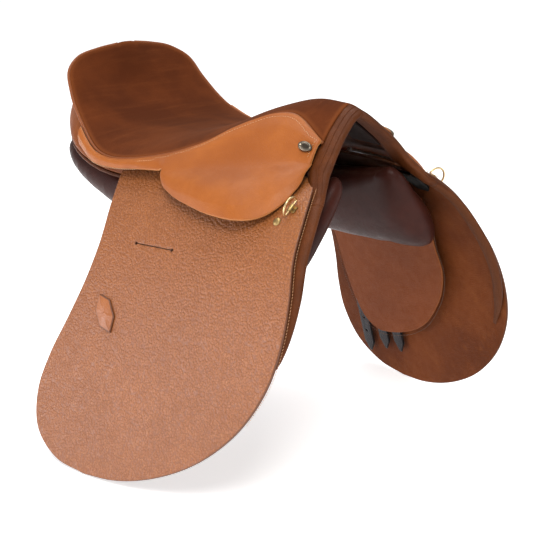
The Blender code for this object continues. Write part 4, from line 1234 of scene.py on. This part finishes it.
def make_rings():
    """The D rings as round brass wire."""
    for side in ("left", "right"):
        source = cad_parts[f"dee_ring_{side}"]
        mesh = bmesh.new()
        mesh.from_mesh(source.data)
        mesh.transform(source.matrix_world)
        bmesh.ops.remove_doubles(mesh, verts=mesh.verts, dist=1e-5)
        bmesh.ops.join_triangles(
            mesh, faces=mesh.faces, angle_face_threshold=3.0, angle_shape_threshold=3.0
        )
        data = bpy.data.meshes.new(f"dee_wire_{side}")
        mesh.to_mesh(data)
        mesh.free()
        data.materials.append(BRASS)
        ring = bpy.data.objects.new(f"dee_wire_{side}", data)
        bpy.context.scene.collection.objects.link(ring)
        soft = ring.modifiers.new("soft", "SUBSURF")
        soft.levels = soft.render_levels = 2
        applied(ring)
        ring.data.shade_smooth()
        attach(ring, f"dee_ring_{side}")
        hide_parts(f"dee_ring_{side}")


def make_nails():
    """The oval nail heads, with a raised rim around a darker hollow."""
    profile = [
        (0.0, 0.42), (0.30, 0.40), (0.48, 0.42), (0.56, 0.55), (0.66, 0.86), (0.78, 1.0), (0.90, 0.86),
        (0.98, 0.50), (1.0, 0.20), (1.0, 0.0), (0.96, 0.0),
    ]
    for side in ("left", "right"):
        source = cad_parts[f"skirt_nail_{side}"]
        spots = np.array([source.matrix_world @ v.co for v in source.data.vertices])
        base = spots.mean(0)
        ways = np.linalg.svd(spots - base)[2]
        out = ways[2] * (1.0 if ways[2][2] > 0 else -1.0)
        reach = [np.abs((spots - base) @ way).max() for way in ways[:2]]
        level = (spots - base) @ out
        foot, height = base + out * level.min(), float(np.ptp(level))
        turns = np.linspace(0.0, 2 * math.pi, 40, endpoint=False)[:, None]
        rings = [
            foot + out * height * rise
            + (ways[0] * np.cos(turns) * reach[0] + ways[1] * np.sin(turns) * reach[1]) * max(size, 0.02)
            for size, rise in profile
        ]
        nail = loft(f"nail_head_{side}", rings, [NICKEL, NAIL_HOLLOW])
        for face in nail.data.polygons:
            away = (np.array(face.center) - foot) @ ways[0] / reach[0]
            across = (np.array(face.center) - foot) @ ways[1] / reach[1]
            face.material_index = int(math.hypot(away, across) < 0.57 and (np.array(face.center) - foot) @ out > height * 0.2)
        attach(nail, ROOT)
        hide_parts(f"skirt_nail_{side}")


NODE_MATERIALS = {
    "seat_foam": FOAM, "seat_web": WEBBING, "billet_web": WEBBING, "tree_frame": LAMINATE,
    "head_plate": BLACK_STEEL, "gullet_plate": BLACK_STEEL, "gullet_lining": LINING_LEATHER,
    "cantle_welt": ROLL_LEATHER, "panel_channel": PANEL_LEATHER,
    "tree_rail": BLACK_STEEL, "tree_point": BLACK_STEEL, "stirrup_bar": STEEL, "bar_catch": STEEL,
    "catch_pin": STEEL, "dee_clip": OLD_BRASS, "dee_stud": OLD_BRASS,
}


def finish_frame_nodes():
    """A detailed material on each part of the frame that stays in view."""
    for name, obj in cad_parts.items():
        stem = name.replace("_left", "").replace("_right", "")
        if stem in NODE_MATERIALS:
            for slot in obj.material_slots:
                slot.material = NODE_MATERIALS[stem]


# ---------------------------------------------------------------- stage

CAMERA_AZIMUTH = math.radians(-42.084)
CAMERA_ELEVATION = math.radians(16.91)
CAMERA_ROLL = math.radians(1.228)
CAMERA_DISTANCE = 2.11
CAMERA_TARGET = np.array((0.020, -0.064, -0.098))
CAMERA_LENS = 108.44


def make_camera():
    a, e, r = CAMERA_AZIMUTH, CAMERA_ELEVATION, CAMERA_ROLL
    back = np.array((math.sin(a) * math.cos(e), -math.cos(a) * math.cos(e), math.sin(e)))
    right = np.array((math.cos(a), math.sin(a), 0.0))
    up = np.cross(back, right)
    level_right = math.cos(r) * right + math.sin(r) * up
    level_up = -math.sin(r) * right + math.cos(r) * up
    data = bpy.data.cameras.new("camera")
    data.sensor_width = 36.0
    data.lens = CAMERA_LENS
    data.clip_end = 50.0
    camera = bpy.data.objects.new("camera", data)
    turn = Matrix(np.stack([level_right, level_up, back], 1)).to_4x4()
    camera.matrix_world = Matrix.Translation(Vector(CAMERA_TARGET + back * CAMERA_DISTANCE)) @ turn
    bpy.context.scene.collection.objects.link(camera)
    bpy.context.scene.camera = camera


def add_light(name, place, target, size, power, colour=(1.0, 1.0, 1.0)):
    data = bpy.data.lights.new(name, "AREA")
    data.shape = "DISK"
    data.size = size
    data.energy = power
    data.color = colour
    light = bpy.data.objects.new(name, data)
    light.location = place
    light.rotation_euler = (Vector(target) - Vector(place)).to_track_quat("-Z", "Y").to_euler()
    bpy.context.scene.collection.objects.link(light)


def make_stage():
    floor_z = cad_box[0][2] - 0.0005
    s = Shader("pale_floor")
    tone = s.mix(s.noise(3.0), (0.90, 0.90, 0.90), (0.93, 0.93, 0.93))
    floor = mesh_object(
        "floor", [(-9, -9, floor_z), (9, -9, floor_z), (9, 9, floor_z), (-9, 9, floor_z)], [(0, 1, 2, 3)],
        [s.finish(tone, 0.8, Specular_IOR_Level=0.2, Emission_Color=(1.0, 1.0, 1.0, 1.0), Emission_Strength=0.60)],
    )
    target = (0.0, -0.05, -0.05)
    add_light("key", (-1.4, -1.4, 1.9), target, 1.2, 58.0, (1.0, 0.985, 0.96))
    add_light("top", (0.2, 0.6, 2.2), target, 1.8, 34.0)
    add_light("fill", (2.2, -1.6, 0.8), target, 1.6, 7.0)
    add_light("side", (-2.0, 1.15, 0.05), (-0.22, -0.10, -0.22), 1.1, 24.0, (0.95, 0.93, 1.0))
    world = bpy.data.worlds.new("studio")
    bpy.context.scene.world = world
    world.use_nodes = True
    world.node_tree.nodes["Background"].inputs["Color"].default_value = (1.0, 1.0, 1.0, 1.0)
    world.node_tree.nodes["Background"].inputs["Strength"].default_value = 0.42
    bpy.context.scene.view_settings.view_transform = "Standard"


# ---------------------------------------------------------------- build

make_camera()
make_stage()
make_seat()
make_seat_welt()
make_skirts()
make_rear_wall()
make_pommel()
make_flaps()
make_edge_rolls()
make_keepers()
make_sweat_flaps()
make_billets()
make_panels()
make_rings()
make_nails()
finish_frame_nodes()
